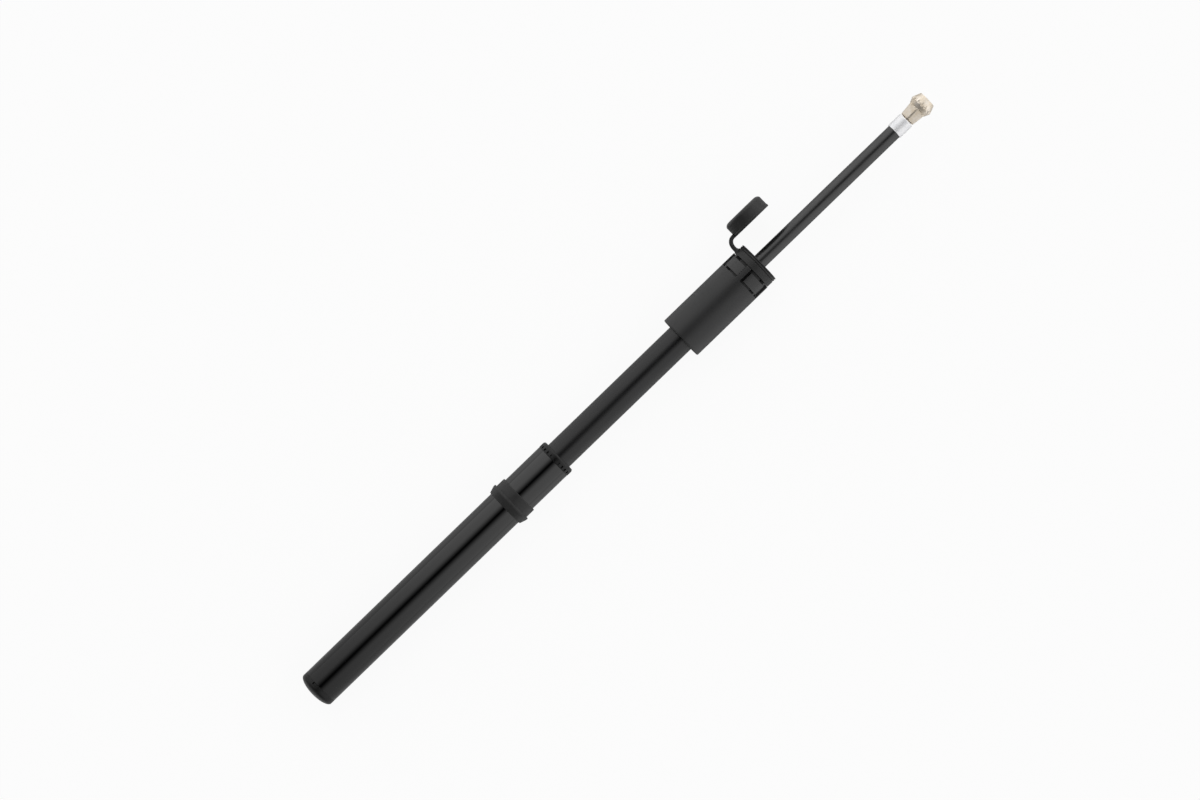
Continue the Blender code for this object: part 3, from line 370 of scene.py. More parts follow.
def noise_on(tree, place, scale, detail):
    """A noise texture on a place, with its scale from a socket or a number."""
    noise = add_node(tree, "TexNoise")
    tree.links.new(place, noise.inputs["Vector"])
    noise.inputs["Detail"].default_value = detail
    if isinstance(scale, (int, float)):
        noise.inputs["Scale"].default_value = scale
    else:
        tree.links.new(scale, noise.inputs["Scale"])
    return noise.outputs[0]


def grain_group():
    """Fine moulding or paint grain, so many grains to the millimetre."""
    group, enter, leave = new_group("fine_grain", {"Per mm": 3.0}, ("Height",))
    group.links.new(noise_on(group, place_in_mm(group), enter.outputs["Per mm"], 4.0),
                    leave.inputs["Height"])
    return group


def line_group():
    """Fine lines from a tool or a die: noise, stretched where it has few waves to the mm."""
    inputs = {"Along axis per mm": 4.0, "Across axis per mm": 0.05}
    group, enter, leave = new_group("tool_lines", inputs, ("Height",))
    split = add_node(group, "SeparateXYZ")
    group.links.new(place_in_mm(group), split.inputs[0])
    join = add_node(group, "CombineXYZ")
    along, across = inputs
    for axis, rate in (("X", along), ("Y", across), ("Z", across)):
        group.links.new(math_node(group, "MULTIPLY", split.outputs[axis], enter.outputs[rate]),
                        join.inputs[axis])
    group.links.new(noise_on(group, join.outputs[0], 1.0, 5.0), leave.inputs["Height"])
    return group


def cloud_group():
    """Broad soft patches, such as haze from handling, from 0 to 1."""
    thin, full = 0.85, 1.2
    group, enter, leave = new_group("soft_haze", {"Size mm": 12.0, "Cover": 0.5}, ("Mask",))
    rate = math_node(group, "DIVIDE", 1.0, enter.outputs["Size mm"])
    patches = noise_on(group, place_in_mm(group), rate, 5.0)
    shifted = math_node(group, "ADD", patches, enter.outputs["Cover"])
    group.links.new(ranged(group, shifted, thin, full), leave.inputs["Mask"])
    return group


def dust_group():
    """Sparse small specks, from 0 to 1, in some patches only."""
    speck_contrast = 14.0
    patches_per_mm = 0.12
    bare_share = 0.5
    group, enter, leave = new_group("dust_specks", {"Per mm": 0.8, "Amount": 0.08}, ("Mask",))
    cells = add_node(group, "TexVoronoi")
    group.links.new(place_in_mm(group), cells.inputs["Vector"])
    group.links.new(enter.outputs["Per mm"], cells.inputs["Scale"])
    near = math_node(group, "SUBTRACT", enter.outputs["Amount"], cells.outputs["Distance"])
    speck = math_node(group, "MULTIPLY", near, speck_contrast, clamp=True)
    patches = noise_on(group, place_in_mm(group), patches_per_mm, 2.0)
    some = math_node(group, "GREATER_THAN", patches, bare_share)
    group.links.new(math_node(group, "MULTIPLY", speck, some), leave.inputs["Mask"])
    return group


def edge_group():
    """Rub marks round one station of the pump's axis, broken up by noise."""
    marks_per_mm = 0.9
    whole_share = 0.42
    mark_contrast = 5.0
    inputs = {"Station mm": 0.0, "Reach mm": 0.6}
    group, enter, leave = new_group("rubbed_edge", inputs, ("Mask",))
    split = add_node(group, "SeparateXYZ")
    place = place_in_mm(group)
    group.links.new(place, split.inputs[0])
    off = math_node(group, "SUBTRACT", split.outputs["X"], enter.outputs["Station mm"])
    away = math_node(group, "DIVIDE", math_node(group, "ABSOLUTE", off), enter.outputs["Reach mm"])
    close = math_node(group, "SUBTRACT", 1.0, away, clamp=True)
    worn = math_node(group, "SUBTRACT", noise_on(group, place, marks_per_mm, 6.0), whole_share)
    marks = math_node(group, "MULTIPLY", worn, mark_contrast, clamp=True)
    group.links.new(math_node(group, "MULTIPLY", close, marks), leave.inputs["Mask"])
    return group


GROUPS = {
    "grain": grain_group(),
    "lines": line_group(),
    "haze": cloud_group(),
    "dust": dust_group(),
    "edge": edge_group(),
}


# Finishes.

class Finish:
    """A Principled material, with effects laid on its colour, roughness and bump."""

    def __init__(self, name, colour, roughness, metallic=0.0, **fixed):
        self.material = bpy.data.materials.new(name)
        self.material.use_nodes = True
        self.tree = self.material.node_tree
        self.shader = self.tree.nodes["Principled BSDF"]
        self.shader.inputs["Metallic"].default_value = metallic
        for label, value in fixed.items():
            self.shader.inputs[label.replace("_", " ")].default_value = value
        self.colour = add_node(self.tree, "RGB").outputs[0]
        self.colour.default_value = (*colour, 1)
        self.roughness = roughness
        self.height = None

    def effect(self, name, output, **values):
        """An effect group with its own values; gives its output."""
        used = add_node(self.tree, "Group", node_tree=GROUPS[name])
        for label, value in values.items():
            used.inputs[label.replace("_", " ")].default_value = value
        return used.outputs[output]

    def tint(self, mask, colour, share=1.0):
        """Lay a second colour where the mask is."""
        mix = add_node(self.tree, "Mix", data_type="RGBA")
        self.tree.links.new(math_node(self.tree, "MULTIPLY", mask, share), mix.inputs[0])
        self.tree.links.new(self.colour, mix.inputs["A"])
        mix.inputs["B"].default_value = (*colour, 1)
        self.colour = mix.outputs["Result"]

    def roughen(self, mask, amount):
        """Add to the roughness by the mask; it stays between 0 and 1."""
        more = math_node(self.tree, "MULTIPLY", mask, amount)
        self.roughness = math_node(self.tree, "ADD", more, self.roughness, clamp=True)

    def raise_by(self, height, depth):
        """Add a height of that many metres to the bump."""
        more = math_node(self.tree, "MULTIPLY", height, depth)
        self.height = more if self.height is None else math_node(self.tree, "ADD", more, self.height)

    def done(self):
        """Join the colour, roughness and bump to the shader; gives the material."""
        self.tree.links.new(self.colour, self.shader.inputs["Base Color"])
        self.tree.links.new(self.roughness, self.shader.inputs["Roughness"])
        bump = add_node(self.tree, "Bump")
        bump.inputs["Strength"].default_value = 1.0
        bump.inputs["Distance"].default_value = 1.0
        self.tree.links.new(self.height, bump.inputs["Height"])
        self.tree.links.new(bump.outputs[0], self.shader.inputs["Normal"])
        return self.material


def gloss_black_paint():
    """The barrel's: deep gloss with faint haze, dust and a trace of orange peel."""
    finish = Finish("gloss_black_paint", (0.0016, 0.0016, 0.0018), 0.05, Specular_IOR_Level=0.57)
    haze = finish.effect("haze", "Mask", Size_mm=26.0, Cover=0.4)
    dust = finish.effect("dust", "Mask", Per_mm=0.55, Amount=0.09)
    finish.tint(haze, (0.003, 0.003, 0.0033), 0.6)
    finish.tint(dust, (0.05, 0.05, 0.05), 0.5)
    finish.roughen(haze, 0.05)
    finish.roughen(dust, 0.3)
    finish.raise_by(finish.effect("grain", "Height", Per_mm=1.1), 0.0012 * MM)
    return finish.done()


def satin_black_anodising():
    """The shaft's: satin, with fine polishing lines round it."""
    finish = Finish("satin_black_anodising", (0.009, 0.009, 0.0095), 0.2, Specular_IOR_Level=0.43)
    lines = finish.effect("lines", "Height", Along_axis_per_mm=6.0, Across_axis_per_mm=0.04)
    haze = finish.effect("haze", "Mask", Size_mm=18.0, Cover=0.45)
    finish.tint(haze, (0.01, 0.01, 0.0105), 0.7)
    finish.roughen(lines, 0.08)
    finish.roughen(haze, 0.05)
    finish.raise_by(lines, 0.002 * MM)
    finish.raise_by(finish.effect("grain", "Height", Per_mm=7.0), 0.0012 * MM)
    return finish.done()


def blasted_black_sleeve():
    """The sleeve's: bead blasted before it was anodised, and rubbed at both ends."""
    finish = Finish("blasted_black_anodising", (0.0125, 0.0125, 0.013), 0.38, Specular_IOR_Level=0.58)
    grain = finish.effect("grain", "Height", Per_mm=5.0)
    haze = finish.effect("haze", "Mask", Size_mm=15.0, Cover=0.45)
    start, end = ends("head_sleeve")
    for station in (start, end):
        edge = finish.effect("edge", "Mask", Station_mm=station / MM, Reach_mm=0.55)
        finish.tint(edge, (0.16, 0.16, 0.16), 0.35)
    finish.tint(haze, (0.0145, 0.0145, 0.015), 0.6)
    finish.roughen(grain, 0.1)
    finish.roughen(haze, 0.05)
    finish.raise_by(grain, 0.004 * MM)
    return finish.done()


def moulded_black_plastic(name, base, haze_colour, level):
    """Moulded plastic: the core's is brighter than the nut's and the end cap's."""
    finish = Finish(name, base, 0.24, Specular_IOR_Level=level)
    grain = finish.effect("grain", "Height", Per_mm=3.5)
    haze = finish.effect("haze", "Mask", Size_mm=9.0, Cover=0.45)
    finish.tint(haze, haze_colour, 0.6)
    finish.roughen(grain, 0.16)
    finish.raise_by(grain, 0.006 * MM)
    return finish.done()


def matte_black_rubber():
    """The moulded rings', strap's and cap's: pebbled and slightly dusty."""
    finish = Finish("matte_black_rubber", (0.024, 0.024, 0.024), 0.4, Specular_IOR_Level=0.34)
    grain = finish.effect("grain", "Height", Per_mm=4.5)
    haze = finish.effect("haze", "Mask", Size_mm=6.0, Cover=0.5)
    dust = finish.effect("dust", "Mask", Per_mm=1.1, Amount=0.1)
    finish.tint(haze, (0.03, 0.03, 0.0298), 0.7)
    finish.tint(dust, (0.07, 0.07, 0.068), 0.5)
    finish.roughen(haze, 0.14)
    finish.raise_by(grain, 0.012 * MM)
    return finish.done()


def satin_hose_rubber():
    """The hose's: smoother than the mouldings, with die lines along it."""
    finish = Finish("satin_hose_rubber", (0.011, 0.011, 0.0113), 0.24, Specular_IOR_Level=0.8)
    lines = finish.effect("lines", "Height", Along_axis_per_mm=0.03, Across_axis_per_mm=2.6)
    grain = finish.effect("grain", "Height", Per_mm=5.0)
    haze = finish.effect("haze", "Mask", Size_mm=14.0, Cover=0.5)
    finish.tint(haze, (0.016, 0.016, 0.0164), 0.6)
    finish.roughen(haze, 0.08)
    finish.roughen(grain, 0.06)
    finish.raise_by(lines, 0.02 * MM)
    finish.raise_by(grain, 0.004 * MM)
    return finish.done()


def seal_rubber():
    """Rubber of the seals and the wiper."""
    finish = Finish("seal_rubber", (0.009, 0.009, 0.009), 0.4)
    grain = finish.effect("grain", "Height", Per_mm=6.0)
    haze = finish.effect("haze", "Mask", Size_mm=4.0, Cover=0.5)
    finish.tint(haze, (0.014, 0.014, 0.014), 0.6)
    finish.roughen(haze, 0.1)
    finish.raise_by(grain, 0.004 * MM)
    return finish.done()


def bearing_plastic():
    """Natural plastic of the hidden bushes."""
    finish = Finish("bearing_plastic", (0.72, 0.7, 0.64), 0.38)
    grain = finish.effect("grain", "Height", Per_mm=3.0)
    haze = finish.effect("haze", "Mask", Size_mm=7.0, Cover=0.5)
    finish.tint(haze, (0.62, 0.59, 0.52), 0.5)
    finish.roughen(grain, 0.14)
    finish.raise_by(grain, 0.004 * MM)
    return finish.done()


def polished_silver():
    """The ferrule's and the clamp's plating, with fine lines round it."""
    finish = Finish("polished_silver", (0.96, 0.96, 0.97), 0.5, 1.0)
    lines = finish.effect("lines", "Height", Along_axis_per_mm=9.0, Across_axis_per_mm=0.08)
    haze = finish.effect("haze", "Mask", Size_mm=4.0, Cover=0.45)
    finish.tint(haze, (0.86, 0.87, 0.9), 0.6)
    finish.roughen(lines, 0.12)
    finish.roughen(haze, 0.1)
    finish.raise_by(lines, 0.003 * MM)
    return finish.done()


def pale_brass():
    """The chuck's and fittings' turned brass, paler than raw brass."""
    finish = Finish("pale_brass", (0.84, 0.77, 0.68), 0.36, 1.0)
    lines = finish.effect("lines", "Height", Along_axis_per_mm=8.0, Across_axis_per_mm=0.08)
    haze = finish.effect("haze", "Mask", Size_mm=3.5, Cover=0.5)
    finish.tint(haze, (0.7, 0.6, 0.46), 0.7)
    finish.roughen(lines, 0.12)
    finish.roughen(haze, 0.12)
    finish.raise_by(lines, 0.003 * MM)
    return finish.done()


def bright_steel():
    """Spring and ball steel."""
    finish = Finish("bright_steel", (0.62, 0.62, 0.62), 0.2, 1.0)
    lines = finish.effect("lines", "Height", Along_axis_per_mm=6.0, Across_axis_per_mm=0.3)
    haze = finish.effect("haze", "Mask", Size_mm=3.0, Cover=0.4)
    finish.tint(haze, (0.5, 0.49, 0.47), 0.5)
    finish.roughen(lines, 0.14)
    finish.raise_by(lines, 0.002 * MM)
    return finish.done()


# Shaping.

def turn_about_axis(profile, arcs=((360.0, SIDES),)):
    """Spin an outline about the pump's axis, in arcs of (degrees, steps).

    A point of the outline is (station, radius), or (station, radius, rounding). An
    outline that starts on the axis ends there too, and any other is closed.
    """
    shape = bmesh.new()
    line = [shape.verts.new((point[0], 0, point[1])) for point in profile]
    closed = profile[0][1] > 0
    following = line[1:] + line[:1] if closed else line[1:]
    sweep(shape, line + [shape.edges.new(pair) for pair in zip(line, following)], arcs)
    bmesh.ops.recalc_face_normals(shape, faces=shape.faces)
    for point in profile:
        if len(point) == 3:
            round_ring(shape, *point)
    return shape


def sweep(shape, section, arcs):
    """Spin a section of points and edges about the pump's axis, arc by arc, and merge its seam."""
    for angle, steps in arcs:
        swept = bmesh.ops.spin(shape, geom=section, cent=ORIGIN, axis=PUMP_AXIS,
                               angle=math.radians(angle), steps=steps, use_merge=len(arcs) == 1)
        section = swept["geom_last"]
    bmesh.ops.remove_doubles(shape, verts=shape.verts, dist=TINY / 4)


def round_ring(shape, station, radius, width, segments=3):
    """Round the turned corner at a station and radius."""
    ring = [edge for edge in shape.edges if all(
        abs(v.co.x - station) < TINY and abs(math.hypot(v.co.y, v.co.z) - radius) < TINY
        for v in edge.verts)]
    bmesh.ops.bevel(shape, geom=ring, offset=width, offset_type="OFFSET", segments=segments,
                    profile=0.5, affect="EDGES", clamp_overlap=True, material=-1)


def angle_of(place):
    """Degrees round the pump's axis, 0 at the top and growing towards -Y."""
    return math.degrees(math.atan2(-place.y, place.z)) % 360


def away_from(angle, centre):
    """Degrees between two directions round the axis."""
    return abs((angle - centre + 180) % 360 - 180)


def patch(shape, low, high, centres, half_angle, least_radius):
    """Faces between two stations, within an angle of any centre, facing outwards."""
    found = []
    for face in shape.faces:
        middle = face.calc_center_median()
        if not low < middle.x < high or math.hypot(middle.y, middle.z) < least_radius:
            continue
        if any(away_from(angle_of(middle), centre) < half_angle for centre in centres):
            found.append(face)
    return found


def grow_faces(shape, faces):
    """Extrude faces, with their edges named so that the old faces go; gives the new parts."""
    edges = {edge for face in faces for edge in face.edges}
    return bmesh.ops.extrude_face_region(shape, geom=[*faces, *edges])["geom"]


def push_radially(shape, faces, depth):
    """Sink faces towards the axis by a depth, with walls round them."""
    grown = grow_faces(shape, faces)
    for vertex in (item for item in grown if isinstance(item, bmesh.types.BMVert)):
        move_inwards(vertex, depth)


def move_inwards(vertex, depth):
    """Move a point towards the axis by a depth."""
    radius = math.hypot(vertex.co.y, vertex.co.z)
    vertex.co.y *= (radius - depth) / radius
    vertex.co.z *= (radius - depth) / radius


def even_arcs(count, width_angle, wide_steps, gap_steps):
    """Arcs for equal features round the axis, the first centred on the section's start."""
    gap = 360 / count - width_angle
    arcs = [(width_angle / 2, wide_steps), (gap, gap_steps)]
    arcs += [(width_angle, 2 * wide_steps), (gap, gap_steps)] * (count - 1)
    return arcs + [(width_angle / 2, wide_steps)]


def round_sharp_edges(shape, width, least_angle=40.0, segments=2):
    """Round every edge that turns by more than an angle in degrees."""
    sharp = [edge for edge in shape.edges
             if edge.is_manifold and edge.calc_face_angle() > math.radians(least_angle)]
    bmesh.ops.bevel(shape, geom=sharp, offset=width, offset_type="OFFSET", segments=segments,
                    profile=0.5, affect="EDGES", clamp_overlap=True, material=-1)


def make_piece(name, shape, finish):
    """A smooth-shaded object from a finished shape, at the origin."""
    mesh = bpy.data.meshes.new(name)
    shape.to_mesh(mesh)
    shape.free()
    mesh.shade_smooth()
    mesh.set_sharp_from_angle(angle=math.radians(SHARP_ANGLE))
    piece = bpy.data.objects.new(name, mesh)
    bpy.context.scene.collection.objects.link(piece)
    mesh.materials.append(finish)
    even = piece.modifiers.new("even_normals", "WEIGHTED_NORMAL")
    even.keep_sharp = True
    return piece


def dress(name, shape, finish, slot, body, *nodes):
    """Make a piece, let it move with a body, and let it stand for its CAD nodes."""
    piece = make_piece(name, shape, finish)
    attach(piece, body)
    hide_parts(*nodes)
    return piece


# Barrel side.

def painted_barrel(finish):
    """Barrel from the end cap's seat to the nut's, with a fine seam at each."""
    start = ends("barrel_tube")[0] - FIT + TINY
    end = ends("barrel_tube")[1] + FIT - TINY
    outer = reach("barrel_tube")
    profile = [(start, outer - BARREL_WALL), (start, outer, CRISP), (end, outer, CRISP),
               (end, outer - BARREL_WALL)]
    dress("painted_barrel", turn_about_axis(profile), finish, "barrel_paint", "barrel", "barrel_tube")


def dome_depth(radius, barrel_radius):
    """How far the end cap's dome has fallen back at a radius."""
    return END_DOME_DEPTH * (1 - math.sqrt(1 - (radius / barrel_radius) ** 2))


def domed_end_cap(finish):
    """Dome with a flat middle, a rim with two notches, and the spigot inside the barrel."""
    end = ends("end_cap")[1]
    outer = reach("end_cap")
    seat = dome_depth(outer, outer) - dome_depth(END_FACE_RADIUS, outer) + END_RIM_WIDTH
    spigot = outer - BARREL_WALL - FIT
    start_turn = math.asin(END_FACE_RADIUS / outer)
    step = (math.pi / 2 - start_turn) / END_DOME_STEPS
    radii = [outer * math.sin(start_turn + step * (i + 1)) for i in range(END_DOME_STEPS)]
    flat = dome_depth(END_FACE_RADIUS, outer)
    dome = [(dome_depth(min(radius, outer), outer) - flat, radius) for radius in radii]
    profile = [(0, 0), (0, END_FACE_RADIUS, SOFT)] + dome + [
        (seat - END_NOTCH_LENGTH, outer),
        (seat, outer, CRISP),
        (seat, spigot),
        (end, spigot, SOFT),
        (end, spigot - END_SPIGOT_WALL),
        (END_WALL, spigot - END_SPIGOT_WALL),
        (END_WALL, 0),
    ]
    half_width = math.degrees(END_NOTCH_WIDTH / 2 / outer)
    arcs = [(2 * half_width, END_NOTCH_STEPS),
            (180 - 2 * half_width, SIDES // 2 - END_NOTCH_STEPS)] * 2
    shape = turn_about_axis(profile, arcs)
    notches = patch(shape, seat - END_NOTCH_LENGTH, seat, (half_width, 180 + half_width),
                    half_width, outer - CRISP)
    push_radially(shape, notches, END_NOTCH_DEPTH)
    turn = math.radians(-END_NOTCH_ANGLE - half_width)
    bmesh.ops.rotate(shape, cent=ORIGIN, matrix=Matrix.Rotation(turn, 3, "X"), verts=shape.verts)
    dress("domed_end_cap", shape, finish, "black_plastic", "barrel", "end_cap")


def rubber_bumper(finish):
    """Ring with a swelling back and a square lip, which stops the head's skirt."""
    start, end = ends("bumper_ring")
    outer = reach("bumper_ring")
    bore = reach("barrel_tube") + FIT
    lip = start + RING_LIP_PLACE
    profile = [
        (start, bore, CRISP),
        (start, RING_BACK_RADIUS, SOFT),
        (start + RING_SWELL_SHARE * RING_LIP_PLACE, outer, SOFT),
        (lip, outer, SOFT),
        (lip, RING_SEAT_RADIUS, CRISP),
        (end, RING_SEAT_RADIUS, SOFT),
        (end, bore, CRISP),
    ]
    dress("rubber_bumper", turn_about_axis(profile), finish, "black_rubber", "barrel", "bumper_ring")


def notched_nut(finish):
    """Ring nut with pockets round its rim for a pin spanner, and a recess for the wiper."""
    start, end = ends("gland_nut")
    outer = reach("gland_nut")
    seat = start + NUT_SPIGOT_LENGTH
    rim_end = seat + NUT_RIM
    bore = reach("shaft_tube") + FIT
    recess = bore + WIPER_HEIGHT + FIT
    recess_start = ends("shaft_wiper")[0] - FIT
    notch = seat + NUT_NOTCH_PLACE
    profile = [
        (start, bore),
        (start, reach("barrel_tube") - BARREL_WALL - FIT, SOFT),
        (seat, reach("barrel_tube") - BARREL_WALL - FIT),
        (seat, outer, CRISP),
        (notch, outer),
        (notch + NUT_NOTCH_LENGTH, outer),
        (rim_end, outer, SOFT),
        (end, NUT_NOSE_RADIUS, CRISP),
        (end, recess, CRISP),
        (recess_start, recess),
        (recess_start, bore),
    ]
    width = math.degrees(NUT_NOTCH_WIDTH / outer)
    shape = turn_about_axis(profile, even_arcs(NUT_NOTCHES, width, wide_steps=1, gap_steps=4))
    centres = [360 * i / NUT_NOTCHES for i in range(NUT_NOTCHES)]
    pockets = patch(shape, notch, notch + NUT_NOTCH_LENGTH, centres, width / 2, outer - CRISP)
    push_radially(shape, pockets, NUT_NOTCH_DEPTH)
    dress("notched_nut", shape, finish, "black_plastic", "barrel", "gland_nut")


def lip_wiper(finish):
    """Scraper ring whose lip leans on the shaft."""
    start, end = ends("shaft_wiper")
    outer = reach("shaft_wiper")
    bore = reach("shaft_tube") + FIT
    profile = [(start, bore + WIPER_HEIGHT / 3), (start, outer, CRISP), (end, outer, CRISP),
               (end, bore + WIPER_HEIGHT / 4, CRISP), (end - WIPER_HEIGHT / 4, bore)]
    dress("lip_wiper", turn_about_axis(profile), finish, "seal_rubber", "barrel", "shaft_wiper")


# Handle side.

def satin_shaft(finish):
    """Plain tube that slides in the barrel and carries the head."""
    start, end = ends("shaft_tube")
    outer = reach("shaft_tube")
    profile = [(start, outer - SHAFT_WALL), (start, outer, CRISP), (end, outer, CRISP),
               (end, outer - SHAFT_WALL)]
    dress("satin_shaft", turn_about_axis(profile), finish, "shaft_anodising", "handle", "shaft_tube")


def windowed_sleeve(finish):
    """Skirt cut from one tube, with four windows that run out under the collar."""
    start, end = ends("head_sleeve")
    outer = reach("head_sleeve")
    shape = bmesh.new()
    line = [shape.verts.new((x, 0, outer)) for x in (start, WINDOW_START, end)]
    sweep(shape, line + [shape.edges.new(pair) for pair in zip(line, line[1:])], tongue_arcs())
    openings = patch(shape, WINDOW_START, end, WINDOW_CENTRES, WINDOW_ANGLE / 2, outer / 2)
    bmesh.ops.delete(shape, geom=openings, context="FACES")
    # The open tube's faces point outwards before its wall grows inwards.
    bmesh.ops.recalc_face_normals(shape, faces=shape.faces)
    first = next(iter(shape.faces))
    if first.normal.dot(first.calc_center_median() * Vector((0, 1, 1))) < 0:
        bmesh.ops.reverse_faces(shape, faces=shape.faces)
    bmesh.ops.solidify(shape, geom=shape.faces, thickness=SLEEVE_WALL)
    round_ring(shape, start, outer, SKIRT_ROUND, segments=4)
    round_sharp_edges(shape, CRISP)
    turn_tongues(shape)
    dress("windowed_sleeve", shape, finish, "shaft_anodising", "handle", "head_sleeve")


def tongue_arcs():
    """Arcs of the tongues and windows in turn, from the middle of the top tongue."""
    tongue = 90 - WINDOW_ANGLE
    arcs = [(tongue / 2, TONGUE_STEPS)]
    for _ in WINDOW_CENTRES[1:]:
        arcs += [(WINDOW_ANGLE, WINDOW_STEPS), (tongue, 2 * TONGUE_STEPS)]
    return arcs + [(WINDOW_ANGLE, WINDOW_STEPS), (tongue / 2, TONGUE_STEPS)]


def turn_tongues(shape, back=0.0):
    """Turn the top tongue towards the dust cap's side, less some degrees back."""
    turn = Matrix.Rotation(math.radians(back - TONGUE_TURN), 3, "X")
    bmesh.ops.rotate(shape, cent=ORIGIN, matrix=turn, verts=shape.verts)


def stepped_core(finish, painted_slot_shade):
    """Carrier inside the head: it shows as a pad in each window, with slots round it, whose deep faces
    take a darker plastic as painted shade.
    """
    start, end = ends("head_core")
    outer = reach("head_sleeve") - SLEEVE_WALL - TINY
    bore = reach("shaft_tube") + FIT
    socket = ends("shaft_tube")[1] + FIT
    collar_start = ends("cap_collar")[0]
    pad_start = WINDOW_START + PAD_END_GAP
    pad_end = ends("head_sleeve")[1] - PAD_END_GAP
    slots = ((WINDOW_START + SLOT_WALL, pad_start - SLOT_WALL), (pad_end + SLOT_WALL, collar_start))
    profile = [(start, bore, CRISP), (start, outer, CRISP), (WINDOW_START, outer)]
    profile += [(station, outer) for station in (*slots[0], pad_start, pad_end, *slots[1])]
    profile += [
        (collar_start + SLOT_WALL, outer - CORE_STEP),
        (end, outer - CORE_STEP, CRISP),
        (end, CORE_MOUTH_RADIUS, SOFT),
        (socket, CORE_MOUTH_RADIUS),
        (socket, bore),
    ]
    wall = math.degrees(SLOT_WALL / outer)
    gap = 90 - WINDOW_ANGLE + 2 * math.degrees(PAD_SIDE_GAP / outer)
    quarter = [(gap / 2, CORE_TONGUE_STEPS), (wall, 1),
               (SLOT_HALF_ANGLE - gap / 2 - wall, CORE_SLOT_STEPS)]
    side = (180 - 2 * SLOT_HALF_ANGLE, CORE_SIDE_STEPS)
    shape = turn_about_axis(profile, (quarter + [side] + quarter[::-1]) * 2)
    for vertex in shape.verts:
        if math.hypot(vertex.co.y, vertex.co.z) < outer - TINY:
            continue
        from_tongue = min(away_from(angle_of(vertex.co), centre) for centre in (0, 180))
        in_ring = any(low - TINY < vertex.co.x < high + TINY for low, high in slots)
        under_tongue = slots[0][0] - TINY < vertex.co.x and from_tongue < gap / 2 + wall / 2
        if under_tongue or (in_ring and from_tongue < SLOT_HALF_ANGLE + wall / 2):
            move_inwards(vertex, SLOT_DEPTH)
            # Painted shade: deep slot faces take the second, darker material.
            for face in vertex.link_faces:
                face.material_index = 1
        elif in_ring:
            move_inwards(vertex, SIDE_SLOT_DEPTH)
    turn_tongues(shape, PAD_TURN)
    core = dress("stepped_core", shape, finish, "black_plastic", "handle", "head_core")
    core.data.materials.append(painted_slot_shade)


def ribbed_collar(finish):
    """Rubber ring with two grooves, stretched over the head's end."""
    start, end = ends("cap_collar")
    outer = reach("cap_collar")
    bore = reach("head_core") - CORE_STEP + FIT
    grooves = []
    for i in range(COLLAR_GROOVES):
        place = start + COLLAR_GROOVE_PLACE + COLLAR_GROOVE_PITCH * i
        grooves += [
            (place - COLLAR_GROOVE_WIDTH / 2, outer, CRISP),
            (place, outer - COLLAR_GROOVE_DEPTH, CRISP),
            (place + COLLAR_GROOVE_WIDTH / 2, outer, CRISP),
        ]
    profile = [(start, bore), (start, outer, CRISP)] + grooves + [
        (end, outer, SOFT),
        (end, COLLAR_MOUTH_RADIUS, SOFT),
        (end - COLLAR_LIP_WIDTH, COLLAR_MOUTH_RADIUS, CRISP),
        (end - COLLAR_LIP_WIDTH, bore),
    ]
    dress("ribbed_collar", turn_about_axis(profile), finish, "black_rubber", "handle", "cap_collar")


def smooth_path(points, steps):
    """Points along a smooth curve through the given ones, so many steps from each to the next."""
    outer_ends = [2 * points[0] - points[1]] + points + [2 * points[-1] - points[-2]]
    path = []
    for before, start, stop, after in zip(outer_ends, outer_ends[1:], outer_ends[2:], outer_ends[3:]):
        for i in range(steps):
            t = i / steps
            path.append(0.5 * (
                2 * start + (stop - before) * t
                + (2 * before - 5 * start + 4 * stop - after) * t ** 2
                + (3 * start - before - 3 * stop + after) * t ** 3))
    return path + [points[-1]]


def bent_strap(finish):
    """Moulded strap that flares out of the collar and runs into the cap's side."""
    collar_start = ends("cap_collar")[0]
    root = collar_start + STRAP_PLACE
    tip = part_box("dust_cap")[0].x + CRISP
    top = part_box("dust_cap")[0].y + STRAP_THICKNESS / 2
    foot = reach("cap_collar") - STRAP_SUNK
    # Shares of the rise to the cap's rim, and of the run from the root to the tip.
    bend = ((0.0, 0.0), (0.35, -0.04), (0.70, 0.09), (0.93, 0.43), (1.0, 0.80), (1.0, 1.0))
    route = [Vector((root + run * (tip - root), foot + rise * (top - foot), 0))
             for rise, run in bend]
    path = smooth_path(route, STRAP_STEPS)
    shape = bmesh.new()
    bmesh.ops.create_grid(shape, x_segments=1, y_segments=1, size=0.5)
    bmesh.ops.rotate(shape, cent=ORIGIN, matrix=Matrix.Rotation(math.pi / 2, 3, "Y"),
                     verts=shape.verts)
    bmesh.ops.scale(shape, vec=(1, STRAP_THICKNESS, STRAP_WIDTH), verts=shape.verts)
    bmesh.ops.bevel(shape, geom=shape.verts[:], offset=STRAP_ROUND, offset_type="OFFSET", segments=4,
                    profile=0.5, affect="VERTICES", material=-1)
    face = next(iter(shape.faces))
    rest = [(v.co.y, v.co.z) for v in face.verts]
    lay_section(face, rest, path, 0)
    for i in range(1, len(path)):
        grown = grow_faces(shape, [face])
        face = next(item for item in grown if isinstance(item, bmesh.types.BMFace))
        lay_section(face, rest, path, i)
    bmesh.ops.recalc_face_normals(shape, faces=shape.faces)
    piece = make_piece("bent_strap", shape, finish)
    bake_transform(piece)
    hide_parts("cap_strap")


def lay_section(face, rest, path, i):
    """Place the strap's section square to its path, wider near the root."""
    ahead = (path[min(i + 1, len(path) - 1)] - path[max(i - 1, 0)]).normalized()
    aside = Vector((-ahead.y, ahead.x, 0))
    near_root = max(0.0, 1 - (path[i] - path[0]).length / STRAP_FLARE_LENGTH)
    flare = 1 + (STRAP_FLARE - 1) * near_root ** 2
    for vertex, (thick, wide) in zip(face.verts, rest):
        vertex.co = path[i] + aside * thick * flare + Vector((0, 0, wide * (1 + (flare - 1) / 3)))


